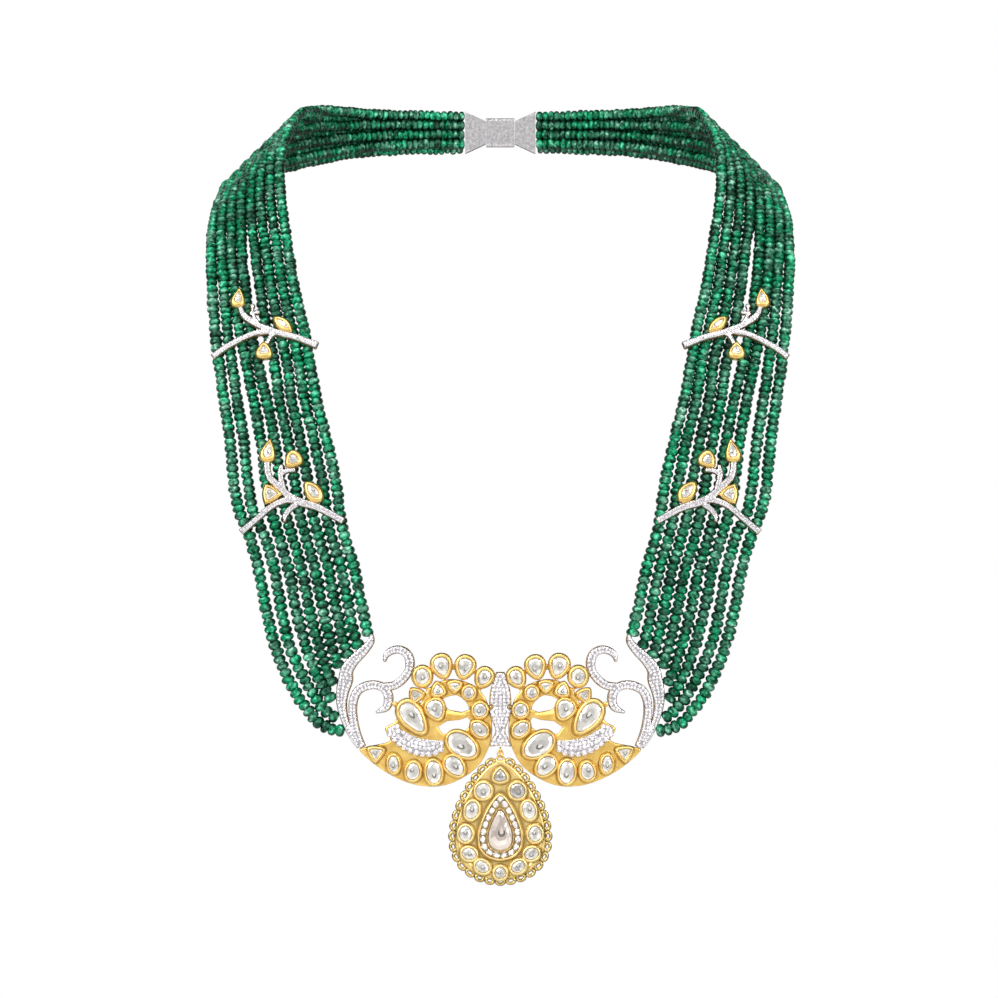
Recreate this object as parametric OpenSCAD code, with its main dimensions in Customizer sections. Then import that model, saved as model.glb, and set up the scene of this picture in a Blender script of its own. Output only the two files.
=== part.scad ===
// Layered bead necklace with two peacocks and a pear drop, in millimetres.
// +Z is up, the front faces -Y, and the origin is the clasp's inner face, at the nape.

/* [Strands] */
// Bead diameter behind the neck and over the shoulder
bead_top_d = 3.3; // [2.8:0.1:3.4]
// Bead diameter at the centrepiece
bead_low_d = 4.0; // [3.4:0.1:4.2]
// Width of a strand's solid as a share of its beads
strand_fill = 0.8; // [0.7:0.01:0.85]
// Distance between two rings of a strand's solid
ring_step = 10; // [6:1:12]

/* [Spacers] */
// Free space between a strand and a spacer
spacer_gap = 0.3; // [0.2:0.05:0.5]
// Thickness of the twig in front of the strands
twig_t = 1.6; // [1:0.1:2.5]
// Thickness of the bar behind the strands
back_bar_t = 1.0; // [0.6:0.1:1.5]
// Height of the leaf cups
leaf_cup_h = 2.3; // [1.8:0.1:3]
// Wall of the leaf cups
leaf_wall = 1.4; // [0.8:0.1:1.6]

/* [Peacocks] */
// Thickness of a bird's plate
plate_t = 2.0; // [1.2:0.1:3]
// Height of the bezels above the plate
bezel_h = 1.2; // [0.8:0.1:2]
// Wall of the bezels
bezel_wall = 1.0; // [0.6:0.1:1.2]
// Thickness of the wing panel
wing_t = 0.9; // [0.6:0.1:1.4]
// Thickness of the end bar and its scrolls
scroll_t = 3.0; // [2:0.1:4]
// Free space between a stone and its bezel, and between two pieces
piece_gap = 0.12; // [0.1:0.01:0.2]

/* [Centre body and drop] */
// Thickness of the centre body
body_t = 3.4; // [2.4:0.1:4]
// Wire of the two rings that the drop hangs by
ring_wire_d = 0.6; // [0.4:0.05:0.65]
// Width of the drop's plate
drop_w = 30.6; // [29:0.1:32]
// Height of the drop's plate
drop_h = 39.5; // [38:0.1:40]
// Thickness of the drop's plate
drop_t = 1.8; // [1.2:0.1:2.4]
// Number of small loops round the drop's edge
loop_count = 32; // [24:1:36]
// Number of small diamonds round the drop's centre
halo_count = 19; // [16:1:22]
// Diameter of those small diamonds
halo_d = 1.8; // [1.4:0.1:1.8]

/* [Clasp] */
// Half the clasp's width
clasp_half_w = 5; // [4:0.5:6]
// Depth of the clasp and the end caps
clasp_depth = 6.2; // [6.1:0.1:8]
// Half the height of the end caps
cap_half_h = 7.4; // [7.2:0.1:9]

/* [Hidden] */
SIDES = ["left", "right"];
STRAND_COUNT = 8;
STONE_SIDES = 12;
SMALL_STONE_SIDES = 8;
TUBE_SIDES = 8;
BEZEL_SIDES = 16;
SPLINE_STEPS = 4;
FINE_STEPS = 6;

// Colours
emerald = [0.06, 0.42, 0.24];
white_gold = [0.86, 0.85, 0.88];
yellow_gold = [0.90, 0.68, 0.22];
pale_gold = [0.84, 0.70, 0.30];
uncut_diamond = [0.84, 0.86, 0.86];

// Shares of the band's width at which the eight strands lie, from the outermost to the innermost
EVEN = [for (i = [0:STRAND_COUNT - 1]) i / (STRAND_COUNT - 1)];
SPLIT = [0, 0.14, 0.27, 0.40, 0.58, 0.72, 0.86, 1];
PAIRED = [0, 0.14, 0.30, 0.42, 0.61, 0.75, 0.88, 1];
LOOSE = [0, 0.14, 0.32, 0.46, 0.60, 0.73, 0.87, 1];
FANNED = [0, 0.16, 0.31, 0.45, 0.59, 0.73, 0.865, 1];

// The left band's stations from the clasp to the last level row above the end bar.
// Each row: outermost strand, innermost strand, half the depth between odd and even strands, shares
BAND = [
    [[-13, 3.1, -5.6], [-13, 3.1, 5.6], 1.45, EVEN],
    [[-30, 0.5, -6], [-29.5, 0.5, 6], 1.45, EVEN],
    [[-51, -9, -8], [-47, -9, 6], 1.4, EVEN],
    [[-72, -26, -13.2], [-60.5, -26, 6.2], 1.25, EVEN],
    [[-86.5, -43, -19], [-66.5, -43, 5], 0.75, EVEN],
    [[-93.5, -60, -21], [-69, -60, 3], 0, EVEN],
    [[-95.5, -72, -26], [-72.5, -72, -3], 0, EVEN],
    [[-97.5, -82, -33], [-75, -82, -13], 0, EVEN],
    [[-98, -91, -41.5], [-74.5, -91, -27], 0, EVEN],
    [[-97.8, -99, -50], [-71.8, -98, -45], 0, SPLIT],
    [[-97.2, -104.2, -58], [-69.6, -104.2, -58], 0, SPLIT],
    [[-96.3, -109.2, -70.5], [-66.5, -109.2, -70.5], 0, SPLIT],
    [[-94.6, -114.3, -83], [-64.2, -114.3, -83], 0, PAIRED],
    [[-92.7, -119.2, -96], [-61.7, -119.2, -96], 0, LOOSE],
    [[-90.7, -123.3, -108], [-58.6, -123.3, -108], 0, LOOSE],
    [[-89, -127, -125], [-54.8, -127, -125], 0, LOOSE],
    [[-87, -129.2, -134], [-53.7, -129.2, -134], 0, LOOSE],
    [[-83.8, -130.5, -141.5], [-52.2, -130.5, -141.5], 0, FANNED],
    [[-80.5, -132, -153], [-48.7, -132, -153], 0, FANNED],
    [[-78.5, -132.8, -164], [-46.5, -132.8, -164], 0, FANNED]
];

// The last points of each left strand down to the end bar, from the outermost strand: across, up
STRAND_ENDS = [
    [[-76.1, -174.6], [-72.9, -184.5], [-67.9, -194.6], [-61, -203.4], [-56.3, -206.1], [-53.3, -206.5]],
    [[-71.3, -175], [-67.2, -185.6], [-62.1, -195], [-58.2, -200], [-55.4, -202]],
    [[-65.5, -176.3], [-61.8, -186.6], [-59, -192.2], [-56.7, -195.8]],
    [[-60.8, -177.3], [-58.2, -185.4], [-56, -190.3]],
    [[-56.6, -177.1], [-54.2, -184.6]],
    [[-52.6, -175.8], [-51.1, -181.1]],
    [[-49.3, -172.6], [-47.6, -178]],
    [[-45.2, -169.5], [-44.4, -173.9]]
];
END_DEPTH = -133;
// Free space between the middle of the strands' ends and the end caps
CAP_CLEARANCE = 0.6;
NECK_CENTRE_Y = -60;

// Bead diameters change between these two heights
BEADS_SMALL_ABOVE = -40;
BEADS_LARGE_BELOW = -170;

// Spacers: position of the middle on the strands' centre plane, and the band's tilt there
UPPER_SPACER = [-79.3, -110.25, -73];
UPPER_TILT = 22;
LOWER_SPACER = [-69.3, -127.95, -129.6];
LOWER_TILT = 12.1;
UPPER_BEAD_R = 1.68;
LOWER_BEAD_R = 1.82;
BACK_SHARE = 0.85;

// Spacer twigs. Each row: across, up, width
UPPER_ARC = [[-17.3, -9.2, 2.2], [-13.4, -6, 2.2], [-8.1, -2.8, 2.1], [-3.8, -0.8, 2.1],
    [-0.8, -0.2, 2.1], [2.5, 0, 2.1]];
UPPER_RIGHT = [[17.8, -4.9, 2.7], [14.4, -3.6, 2.4], [11.1, -2.2, 2.3], [7.1, -1.1, 2.3], [2.2, 0.2, 2.5]];
UPPER_STEM = [[3, 0.2, 2.5], [-1, 1.8, 2.3], [-4.8, 4, 2.3], [-7.3, 6.3, 2.2], [-8.6, 9.6, 1.8]];
UPPER_TWIG = [[3.4, -0.2, 2], [2, -1.8, 1.8], [0.6, -4.6, 1.6]];
UPPER_BUD = [[-2, 2.5, 1.8], [-3.4, 4.7, 1.6], [-4.1, 6.9, 1.4], [-4.2, 9.2, 1.2]];
// Lobes of the upper spacer's bud: across, up, radius
UPPER_LOBES = [[-4.2, 9.4, 0.95], [-4.2, 6.8, 1.1], [-2.5, 7.2, 1.0]];
LOWER_ARC = [[-17.2, -11, 2.4], [-12.5, -6.9, 2.2], [-7.2, -2.3, 2.2], [-3, -0.3, 2.3], [0.5, 0.1, 2.3]];
LOWER_RIGHT = [[16.9, -7.2, 2.4], [12.7, -4.8, 2.5], [8, -2.4, 2.6], [3.3, -1, 2.8], [-0.1, 0.4, 2.8]];
LOWER_STEM = [[-0.1, 0.4, 2.9], [-2.5, 2.4, 2.7], [-5.5, 5.2, 2.6], [-8.2, 8.5, 2.5], [-8.8, 13.4, 2.3]];
LOWER_TWIG = [[-2.8, 2.9, 2], [-3.6, 5.8, 2.1], [-4.2, 9, 2.1], [-3.8, 12, 1.6]];
LOWER_BRANCH = [[-4, 8.8, 1.8], [-2, 10, 1.8], [1, 10.2, 1.4]];
LOWER_HOOK = [[1.5, -1.5, 2], [-0.9, -3.1, 2.1], [-2.5, -5.4, 2], [-2.7, -7.6, 1.2]];
// Posts between the strands: across, up, diameter
UPPER_POSTS = [[-10.1, -3.8, 0.6], [-1.95, -0.2, 1.0]];
LOWER_POSTS = [[-9.5, -4.3, 0.7], [9.1, -2.8, 0.7]];

// Every stone row: across, up, width, height, turn, narrowing towards the tip, corners
UPPER_LEAVES = [
    [-9, 12.3, 2.6, 4.2, -6, 0.55, 0],
    [6.1, 2.5, 1.7, 5.2, 50, 0, 0, 0.35],
    [-0.1, -7, 3.3, 3.2, 0, 0.45, 0]
];
LOWER_LEAVES = [
    [-8.3, 16.8, 2.9, 5.2, -10, 0.50, 0],
    [0, 13.6, 3.5, 3.3, 135, 0.3, 0],
    [-7.4, 1.9, 5.1, 4.8, -90, 0.1, 0.5],
    [6.8, 2.7, 3.0, 5.6, 40, 0.15, 0, 0.3]
];

// Leaf cups: sides, how far they reach past the stone's ends, and how their tips narrow
CUP_SIDES = 20;
CUP_STRETCH = 2.4;
CUP_SHARPER = 1.3;
CUP_SHARPEST = 0.75;

// Bird, from the middle of its neck ring: place, and rows as above
BIRD_X = -15.8;
BIRD_Z = -207;
BIRD_BACK_Y = -132;
CREST = [
    [-10.2, 18.5, 4.8, 5.3, 0, 0, 0],
    [-3.7, 21.9, 5.1, 6.4, 196, 0.32, 0],
    [4.0, 21.6, 4.9, 6.1, 166, 0.32, 0],
    [10.4, 18.1, 4.2, 5.3, 150, 0.25, 0]
];
NECK_STONES = [
    [-12.3, 12.3, 4.4, 4.2, 40, 0.1, 0.6],
    [-5.0, 14.0, 4.0, 4.2, 10, 0.2, 0.35],
    [0.6, 15.3, 4.0, 3.4, 180, 0.1, 0.5],
    [5.3, 13.1, 3.7, 3.9, 0, 0, 0],
    [9.0, 7.3, 4.5, 4.5, 0, 0, 0],
    [8.9, 0.9, 4.3, 6.1, 50, 0, 0.1]
];
TAIL_STONES = [
    [0.6, -11.4, 5.4, 7.4, 222, 0.15, 0],
    [-6.4, -13.4, 5.1, 7.7, 4, 0.05, 0],
    [-13.3, -13.1, 4.5, 5.8, -8, 0.10, 0],
    [-19.8, -10.7, 3.5, 5.6, 6, 0, 0],
    [-25.7, -7.1, 5.2, 5.0, 176, 0.1, 0.7]
];
CREST_WALL = 1.25;
BODY_WALL = 1.35;
// Small webs that join the crest's bezels to each other and to the neck ring: across, up, radius
CREST_WEBS = [[-6.9, 20, 0.8], [0.2, 21.6, 0.9], [7.5, 19.9, 0.8], [-9.2, 15.1, 0.9], [8.7, 14.8, 1.1]];
BODY_STONE = [-13.4, 4.75, 6.3, 11.6, 217, 0.33, 0];
HEAD_STONE = [-5.8, 7.5, 5.6, 6.4, 203, 0.32, 0];
BREAST_STONE = [3.1, -4.4, 7.0, 11.0, 55, -0.1, 0];
BEAK = [[-3.4, 7.4], [1.5, 6.8], [5.3, 6.1], [1.5, 4.2], [-3.4, 3.8]];

// The bird's outline, from the tail's tip round the bottom and up the neck ring
BIRD_OUTLINE = [
    [-30.9, -6.5], [-22.8, -13.2], [-12.7, -17.6], [-2.3, -17.7], [7.5, -12.3], [12.4, -4],
    [12.9, 4], [10.6, 11.7], [5.4, 16.3], [-1.5, 17.6], [-7.2, 15.2], [-14, 11], [-18.4, 9],
    [-19, 3.8], [-22.7, 1.2], [-21, -3], [-28.5, -4.9]
];
UPPER_GAP = [[-4, 10.7], [-1.3, 11.9], [1, 12.3], [3.4, 11.2], [5, 9], [5.4, 7.4], [3, 6.6], [-1.4, 7.4],
    [-2.7, 8.9]];
LOWER_GAP = [[-2, 3.6], [2.2, 4], [4.9, 4.9], [5.7, 3.8], [5.3, 1.6], [3.8, 0.3], [1.5, 0.8], [-1.6, -0.4],
    [-3.3, -0.8], [-5, 1.6]];
// Two small round gaps beside the neck: across, up, radius
SMALL_GAPS = [[-9.6, 13.7, 0.75], [-10.8, 10.2, 0.55]];

// Wing panel: its upper edge, and the scalloped lower edge
WING_TOP = [[-22, 1.4], [-18.6, 2.4], [-17.6, 1.2], [-14.4, -0.8], [-12.4, -1.8], [-9.5, -2.5], [-5.3, -2.7]];
WING_LOW = [[-3.9, -3.7], [-3.8, -5.6], [-5.9, -6.9], [-9, -7.4], [-12.4, -6.9], [-15.6, -5.4], [-18.7, -3.1],
    [-21, -0.6]];
WING_SCALLOPS = 10;
WING_SCALLOP_R = 1.1;
// Slivers narrower than twice this are taken off the wing
SLIVER = 0.3;

// End bar and scrolls, from the same middle. Each row: across, up, width
END_BAR = [
    [-27.3, 32.9, 1.2], [-27.3, 30.3, 2.4], [-29.7, 27.3, 3.3], [-33, 24, 3.8], [-35.3, 20.7, 4.4],
    [-35.8, 17.3, 5.0], [-36.7, 14, 4.5], [-37.1, 10.7, 3.8], [-36.8, 7.3, 3.2], [-36, 4, 2.6],
    [-34.7, 0.7, 2.4], [-32.9, -2.4, 2.4], [-31.1, -4.9, 2.2]
];
INNER_SCROLL = [
    [-30, -5.1, 2.3], [-31.2, -2.7, 2.6], [-32.4, 0.7, 2.8], [-33.1, 4, 2.9], [-33.4, 7.3, 2.9],
    [-33.1, 10.7, 3], [-31.7, 13.7, 3], [-29, 15.3, 3], [-26, 15.7, 2.9], [-23.3, 14.8, 3],
    [-21.7, 12.7, 3.2], [-21.5, 10.3, 3.2], [-22.5, 8, 2.6], [-25.7, 6.5, 0.8]
];
UPPER_SCROLL = [
    [-23, 14.9, 3], [-19.7, 15.5, 2.8], [-17, 17.3, 3], [-14.8, 20.3, 3], [-14.3, 23.3, 3.2],
    [-15.3, 26, 3.1], [-17.7, 27.4, 2.8], [-20.3, 27.1, 2.6], [-22.2, 25.7, 2.2], [-22.8, 23.4, 0.9]
];
SCROLL_BACK_Y = -131.5;
// Small gold knobs where the bird meets its scroll and the centre body: across, up, radius
KNOBS = [[-19.3, 9.2, 0.9], [12.3, 8.3, 0.7]];

// Centre body. Each row: height, half width
CENTRE_OUTLINE = [
    [-187, 1.4], [-188.4, 1.9], [-190.6, 2.5], [-193, 3.3], [-197, 3.7], [-200.5, 3.5],
    [-203.3, 2.7], [-205.6, 1.8], [-207.4, 1.75], [-209.2, 2.7], [-211.9, 3.8]
];
CENTRE_TAIL_NOTCH = 0.4;
CENTRE_LUG = [1.6, 1.8];
CENTRE_LUG_Z = -212.4;
CENTRE_BACK_Y = -131.7;

// Drop: hinge point, rings, and the plate's middle
HINGE_Y = -133.2;
HINGE_Z = -213.2;
TAIL_RING_R = 0.95;
BAIL_RING_R = 0.9;
DROP_Z = -236.5;
DROP_TAPER = 0.34;
LOOP_LONG = 4.1;
LOOP_WIDE = 3.0;
LOOP_WIRE = 0.85;
// The hole in each loop: long, wide, and how far it lies outward
LOOP_HOLE = [1.9, 1.05, 0.2];
CROWN_Z = 19.8;
CROWN_R = 1.9;
CROWN_SLIT = [1.5, 0.7];
CROWN_SLIT_Z = 20.55;
HALO_Z = -2.2;
HALO_BEZEL = [15.8, 22.8, 0.42];
HALO_BEZEL_WALL = 0.9;
HALO_GAP = 0.2;
HALO_RISE = 0.8;
CENTRE_WALL = 0.55;
CENTRE_LIFT = 1.4;
DROP_CENTRE_STONE = [0, -3.2, 8.5, 14.1, 0, 0.48, 0];
DROP_STONES_MID = [
    [0, 15.0, 4.5, 4.5, 0, 0.35, 0.15],
    [0, -17.4, 3.9, 3.9, 0, 0.1, 0]
];
DROP_STONES_SIDE = [
    [5.7, 9.9, 5.1, 5.2, 20, 0, 0],
    [9.5, 3.4, 4.4, 6.0, 15, 0, 0],
    [11.6, -4.4, 4.5, 5.2, 0, 0.05, 0],
    [10.4, -11.1, 4.9, 3.9, 18, 0, 0],
    [6.0, -15.4, 4.9, 3.8, 30, 0, 0]
];
DROP_STONES = concat(
    DROP_STONES_MID,
    [for (s = [-1, 1]) for (r = DROP_STONES_SIDE) [s * r[0], r[1], r[2], r[3], s * r[4], r[5], r[6]]]
);

// Curves
function spline_point(a, b, c, d, t) =
    0.5 * (2 * b + (c - a) * t + (2 * a - 5 * b + 4 * c - d) * t * t + (3 * b - a - 3 * c + d) * t * t * t);

function spline(rows, steps) = let (last = len(rows) - 1) [
    for (i = [0:last - 1]) for (k = [0:steps - 1])
        spline_point(rows[max(i - 1, 0)], rows[i], rows[i + 1], rows[min(i + 2, last)], k / steps),
    rows[last]
];

function closed_spline(rows, steps) = let (n = len(rows)) [
    for (i = [0:n - 1]) for (k = [0:steps - 1])
        spline_point(rows[(i + n - 1) % n], rows[i], rows[(i + 1) % n], rows[(i + 2) % n], k / steps)
];

function unit(v) = v / norm(v);

// Points at even distances along a path
function lengths(path) = [
    for (i = 0, s = 0; i < len(path);
        s = s + (i < len(path) - 1 ? norm(path[i + 1] - path[i]) : 0), i = i + 1) s
];

function along(path, table, s) = [
    for (axis = [0:len(path[0]) - 1])
        lookup(s, [for (i = [0:len(path) - 1]) [table[i], path[i][axis]]])
];

function evenly(path, count) = let (table = lengths(path), total = table[len(path) - 1]) [
    for (k = [0:count]) along(path, table, total * k / count)
];

// A stone's outline: an oval that narrows towards its tip, drawn in to a triangle by its corners' share
function corner_reach(t, share) = pow(0.5 / cos(60 - t % 120), share);

// Some leaves have an eighth number: how far both ends are drawn to a point
function pinch(r, t) = len(r) < 8 ? 1 : pow(abs(sin(t)), r[7]);

function outline_point(r, t) = [
    r[2] / 2 * sin(t) * pinch(r, t) * (1 - r[5] * cos(t)) * corner_reach(t, r[6]) / (1 + 0.45 * r[5] * r[5]),
    r[3] / 2 * cos(t) * corner_reach(t, r[6])
];

function outline(r, sides) = [for (i = [0:sides - 1]) outline_point(r, 360 * i / sides)];

function pear(w, h, taper, sides) = outline([0, 0, w, h, 0, taper, 0], sides);

// Draws a clockwise loop of points inwards by a distance
function inset(loop, distance) = let (n = len(loop)) [
    for (i = [0:n - 1]) let (d = unit(loop[(i + 1) % n] - loop[(i + n - 1) % n]))
        loop[i] + [d[1], -d[0]] * distance
];

// A bar of changing width along a smooth line
function side_points(path, side) = [
    for (i = [0:len(path) - 1]) let (
        a = path[max(i - 1, 0)],
        b = path[min(i + 1, len(path) - 1)],
        d = unit([b[0] - a[0], b[1] - a[1]])
    ) [path[i][0] - side * d[1] * path[i][2] / 2, path[i][1] + side * d[0] * path[i][2] / 2]
];

function reversed(list) = [for (i = [len(list) - 1:-1:0]) list[i]];

module ribbon(rows) {
    path = spline(rows, SPLINE_STEPS);
    polygon(concat(side_points(path, 1), reversed(side_points(path, -1))));
}

module on_side(side) {
    if (side == "left") children();
    else mirror([1, 0, 0]) children();
}

// Stands a flat outline upright, with its back at back_y and its front towards -Y
module upright(back_y, thickness) {
    translate([0, back_y, 0])
        rotate([90, 0, 0])
            linear_extrude(thickness)
                children();
}

// Stones and bezels
module placed(r) {
    translate([r[0], r[1]])
        rotate(r[4])
            children();
}

module stone_area(r, grow) {
    placed(r)
        offset(r = grow, $fn = BEZEL_SIDES)
            polygon(outline(r, STONE_SIDES));
}

// An uncut stone lying on z = base: girdle, sloping crown and flat table
module stone(r, base, height, sides = STONE_SIDES) {
    shape = outline(r, sides);
    levels = [[base, 1], [base + 0.35 * height, 1], [base + height, 0.52]];
    points = [for (l = levels) for (p = shape) [p[0] * l[1], p[1] * l[1], l[0]]];
    walls = [
        for (k = [0:1]) for (i = [0:sides - 1]) let (j = (i + 1) % sides)
            [k * sides + i, k * sides + j, (k + 1) * sides + j, (k + 1) * sides + i]
    ];
    floor_face = [for (i = [sides - 1:-1:0]) i];
    table_face = [for (i = [0:sides - 1]) 2 * sides + i];
    placed(r)
        polyhedron(points, concat([floor_face], walls, [table_face]));
}

module bezel_walls(rows, wall) {
    difference() {
        union()
            for (r = rows) stone_area(r, wall);
        for (r = rows) stone_area(r, piece_gap);
    }
}

module bezel_floors(rows, wall) {
    for (r = rows) stone_area(r, wall);
}

// A leaf cup: its stone's outline made larger, with a sharper tip
function cup_row(r) = [
    r[0], r[1], r[2] + 2 * leaf_wall, r[3] + CUP_STRETCH * leaf_wall, r[4],
    min(CUP_SHARPEST, r[5] * CUP_SHARPER), r[6], len(r) < 8 ? 0 : r[7]
];

module cup_floors(leaves) {
    for (r = leaves)
        placed(r)
            polygon(outline(cup_row(r), CUP_SIDES));
}

module cup_walls(leaves) {
    difference() {
        cup_floors(leaves);
        for (r = leaves) stone_area(r, piece_gap);
    }
}

// Strands
function bead_d(z) = lookup(z, [[BEADS_LARGE_BELOW, bead_low_d], [BEADS_SMALL_ABOVE, bead_top_d]]);

function station(row, i) = let (
    at = row[0] + (row[1] - row[0]) * row[3][i],
    away = unit([at[0], at[1] - NECK_CENTRE_Y, 0]),
    side = i % 2 == 0 ? 1 : -1
) at + away * side * row[2];

function strand_path(i) = spline(
    concat([for (row = BAND) station(row, i)], [for (p = STRAND_ENDS[i]) [p[0], END_DEPTH, p[1]]]),
    FINE_STEPS
);

function tube_ring(path, k) = let (
    at = path[k],
    ahead = unit(path[min(k + 1, len(path) - 1)] - path[max(k - 1, 0)]),
    out = [at[0], at[1] - NECK_CENTRE_Y, 0],
    u = unit(out - ahead * (out * ahead)),
    v = cross(ahead, u),
    r = bead_d(at[2]) * strand_fill / 2
) [for (i = [0:TUBE_SIDES - 1]) at + (u * cos(360 * i / TUBE_SIDES) + v * sin(360 * i / TUBE_SIDES)) * r];

module tube(path) {
    last = len(path) - 1;
    points = [for (k = [0:last]) each tube_ring(path, k)];
    walls = [
        for (k = [0:last - 1]) for (i = [0:TUBE_SIDES - 1]) let (
            a = k * TUBE_SIDES + i,
            b = k * TUBE_SIDES + (i + 1) % TUBE_SIDES
        ) each [[a, a + TUBE_SIDES, b + TUBE_SIDES], [a, b + TUBE_SIDES, b]]
    ];
    first_face = [for (i = [0:TUBE_SIDES - 1]) i];
    last_face = [for (i = [TUBE_SIDES - 1:-1:0]) last * TUBE_SIDES + i];
    polyhedron(points, concat([first_face], walls, [last_face]));
}

module strand(side, i) {
    fine = strand_path(i);
    total = lengths(fine)[len(fine) - 1];
    color(emerald)
        on_side(side)
            tube(evenly(fine, round(total / ring_step)));
}

// Spacers
module on_band(place, tilt) {
    translate(place)
        rotate([90 - tilt, 0, 0])
            children();
}

// On a tilted band the twig sits lower and the bar higher, so that the twig hides the bar from the front
function front_shift(bead_r, tilt) = -(bead_r + spacer_gap + twig_t / 2) * tan(tilt);

function back_shift(bead_r, tilt) = (bead_r + spacer_gap) * tan(tilt) * BACK_SHARE;

module spacer_solid(twigs, lobes, bars, posts, leaves, bead_r, tilt) {
    front = bead_r + spacer_gap;
    lower = front_shift(bead_r, tilt);
    higher = back_shift(bead_r, tilt);
    color(white_gold) {
        translate([0, lower, front])
            linear_extrude(twig_t) {
                for (rows = twigs) ribbon(rows);
                for (l = lobes) translate([l[0], l[1]]) circle(r = l[2], $fn = 24);
            }
        translate([0, higher, -front - back_bar_t])
            linear_extrude(back_bar_t)
                for (rows = bars) ribbon(rows);
        for (p = posts)
            translate([p[0], p[1] + (lower + higher) / 2, -front - back_bar_t / 2])
                cylinder(d = p[2], h = 2 * front + back_bar_t / 2 + twig_t / 2, $fn = 24);
    }
    color(yellow_gold) {
        translate([0, lower, front])
            linear_extrude(leaf_cup_h / 2)
                cup_floors(leaves);
        translate([0, lower, front])
            linear_extrude(leaf_cup_h)
                cup_walls(leaves);
    }
}

module leaf_stones(leaves, bead_r, tilt) {
    floor_z = bead_r + spacer_gap + leaf_cup_h / 2;
    color(uncut_diamond)
        translate([0, front_shift(bead_r, tilt), 0])
            for (r = leaves) stone(r, floor_z + piece_gap, leaf_cup_h / 2);
}

module spacer(side, place) {
    on_side(side)
        if (place == "upper")
            on_band(UPPER_SPACER, UPPER_TILT)
                spacer_solid([UPPER_ARC, UPPER_RIGHT, UPPER_STEM, UPPER_TWIG, UPPER_BUD], UPPER_LOBES,
                    [UPPER_ARC, UPPER_RIGHT], UPPER_POSTS, UPPER_LEAVES, UPPER_BEAD_R, UPPER_TILT);
        else
            on_band(LOWER_SPACER, LOWER_TILT)
                spacer_solid([LOWER_ARC, LOWER_RIGHT, LOWER_STEM, LOWER_TWIG, LOWER_BRANCH, LOWER_HOOK], [],
                    [LOWER_ARC, LOWER_RIGHT], LOWER_POSTS, LOWER_LEAVES, LOWER_BEAD_R, LOWER_TILT);
}

module spacer_stones(side, place) {
    on_side(side)
        if (place == "upper")
            on_band(UPPER_SPACER, UPPER_TILT)
                leaf_stones(UPPER_LEAVES, UPPER_BEAD_R, UPPER_TILT);
        else
            on_band(LOWER_SPACER, LOWER_TILT)
                leaf_stones(LOWER_LEAVES, LOWER_BEAD_R, LOWER_TILT);
}

// Peacocks
BIRD_STONES = concat(CREST, NECK_STONES, TAIL_STONES, [BODY_STONE, HEAD_STONE, BREAST_STONE]);

module at_bird() {
    translate([BIRD_X, BIRD_Z])
        children();
}

module bird_area() {
    difference() {
        union() {
            polygon(closed_spline(BIRD_OUTLINE, 3));
            bezel_floors(BIRD_STONES, bezel_wall);
            bezel_floors(CREST, CREST_WALL);
            bezel_floors([BODY_STONE], BODY_WALL);
            for (k = concat(KNOBS, CREST_WEBS)) translate([k[0], k[1]]) circle(r = k[2], $fn = 20);
        }
        difference() {
            union() {
                polygon(UPPER_GAP);
                polygon(LOWER_GAP);
            }
            bezel_floors([HEAD_STONE, BREAST_STONE], bezel_wall);
            polygon(BEAK);
        }
        for (g = SMALL_GAPS) translate([g[0], g[1]]) circle(r = g[2], $fn = 16);
    }
}

module peacock(side) {
    color(yellow_gold)
        on_side(side) {
            upright(BIRD_BACK_Y, plate_t)
                at_bird()
                    bird_area();
            upright(BIRD_BACK_Y, plate_t + bezel_h)
                at_bird()
                    difference() {
                        union() {
                            bezel_floors(BIRD_STONES, bezel_wall);
                            bezel_floors(CREST, CREST_WALL);
                            bezel_floors([BODY_STONE], BODY_WALL);
                        }
                        for (r = BIRD_STONES) stone_area(r, piece_gap);
                        for (g = SMALL_GAPS) translate([g[0], g[1]]) circle(r = g[2], $fn = 16);
                    }
            upright(BIRD_BACK_Y, plate_t + bezel_h / 2)
                at_bird()
                    difference() {
                        polygon(BEAK);
                        stone_area(HEAD_STONE, bezel_wall / 2);
                    }
        }
}

module wing(side) {
    low = spline(WING_LOW, SPLINE_STEPS);
    color(white_gold)
        on_side(side)
            upright(BIRD_BACK_Y - plate_t - piece_gap, wing_t)
                at_bird()
                    offset(delta = SLIVER)
                        offset(delta = -SLIVER)
                            difference() {
                                union() {
                                    polygon(concat(spline(WING_TOP, 2), low));
                                    for (p = evenly(low, WING_SCALLOPS))
                                        translate(p) circle(r = WING_SCALLOP_R, $fn = 12);
                                }
                                for (r = BIRD_STONES) stone_area(r, bezel_wall + piece_gap);
                                stone_area(BODY_STONE, BODY_WALL + piece_gap);
                            }
}

module scroll(side) {
    color(white_gold)
        on_side(side)
            upright(SCROLL_BACK_Y, scroll_t)
                at_bird()
                    difference() {
                        union() {
                            ribbon(END_BAR);
                            ribbon(INNER_SCROLL);
                            ribbon(UPPER_SCROLL);
                        }
                        offset(delta = piece_gap)
                            bird_area();
                    }
}

module bird_stones(side, rows) {
    color(uncut_diamond)
        on_side(side)
            translate([BIRD_X, BIRD_BACK_Y - plate_t - piece_gap, BIRD_Z])
                rotate([90, 0, 0])
                    for (r = rows) stone(r, 0, bezel_h);
}

// Centre body
module centre_area() {
    right = [for (p = spline(CENTRE_OUTLINE, 3)) [p[1], p[0]]];
    left = [for (p = reversed(right)) [-p[0], p[1]]];
    lowest = right[len(right) - 1][1];
    translate([-CENTRE_LUG[0] / 2, CENTRE_LUG_Z])
        square(CENTRE_LUG);
    difference() {
        polygon(concat(right, [[0, lowest + CENTRE_TAIL_NOTCH]], left));
        for (s = [0, 1])
            mirror([s, 0])
                offset(delta = piece_gap)
                    at_bird()
                        bird_area();
    }
}

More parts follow.
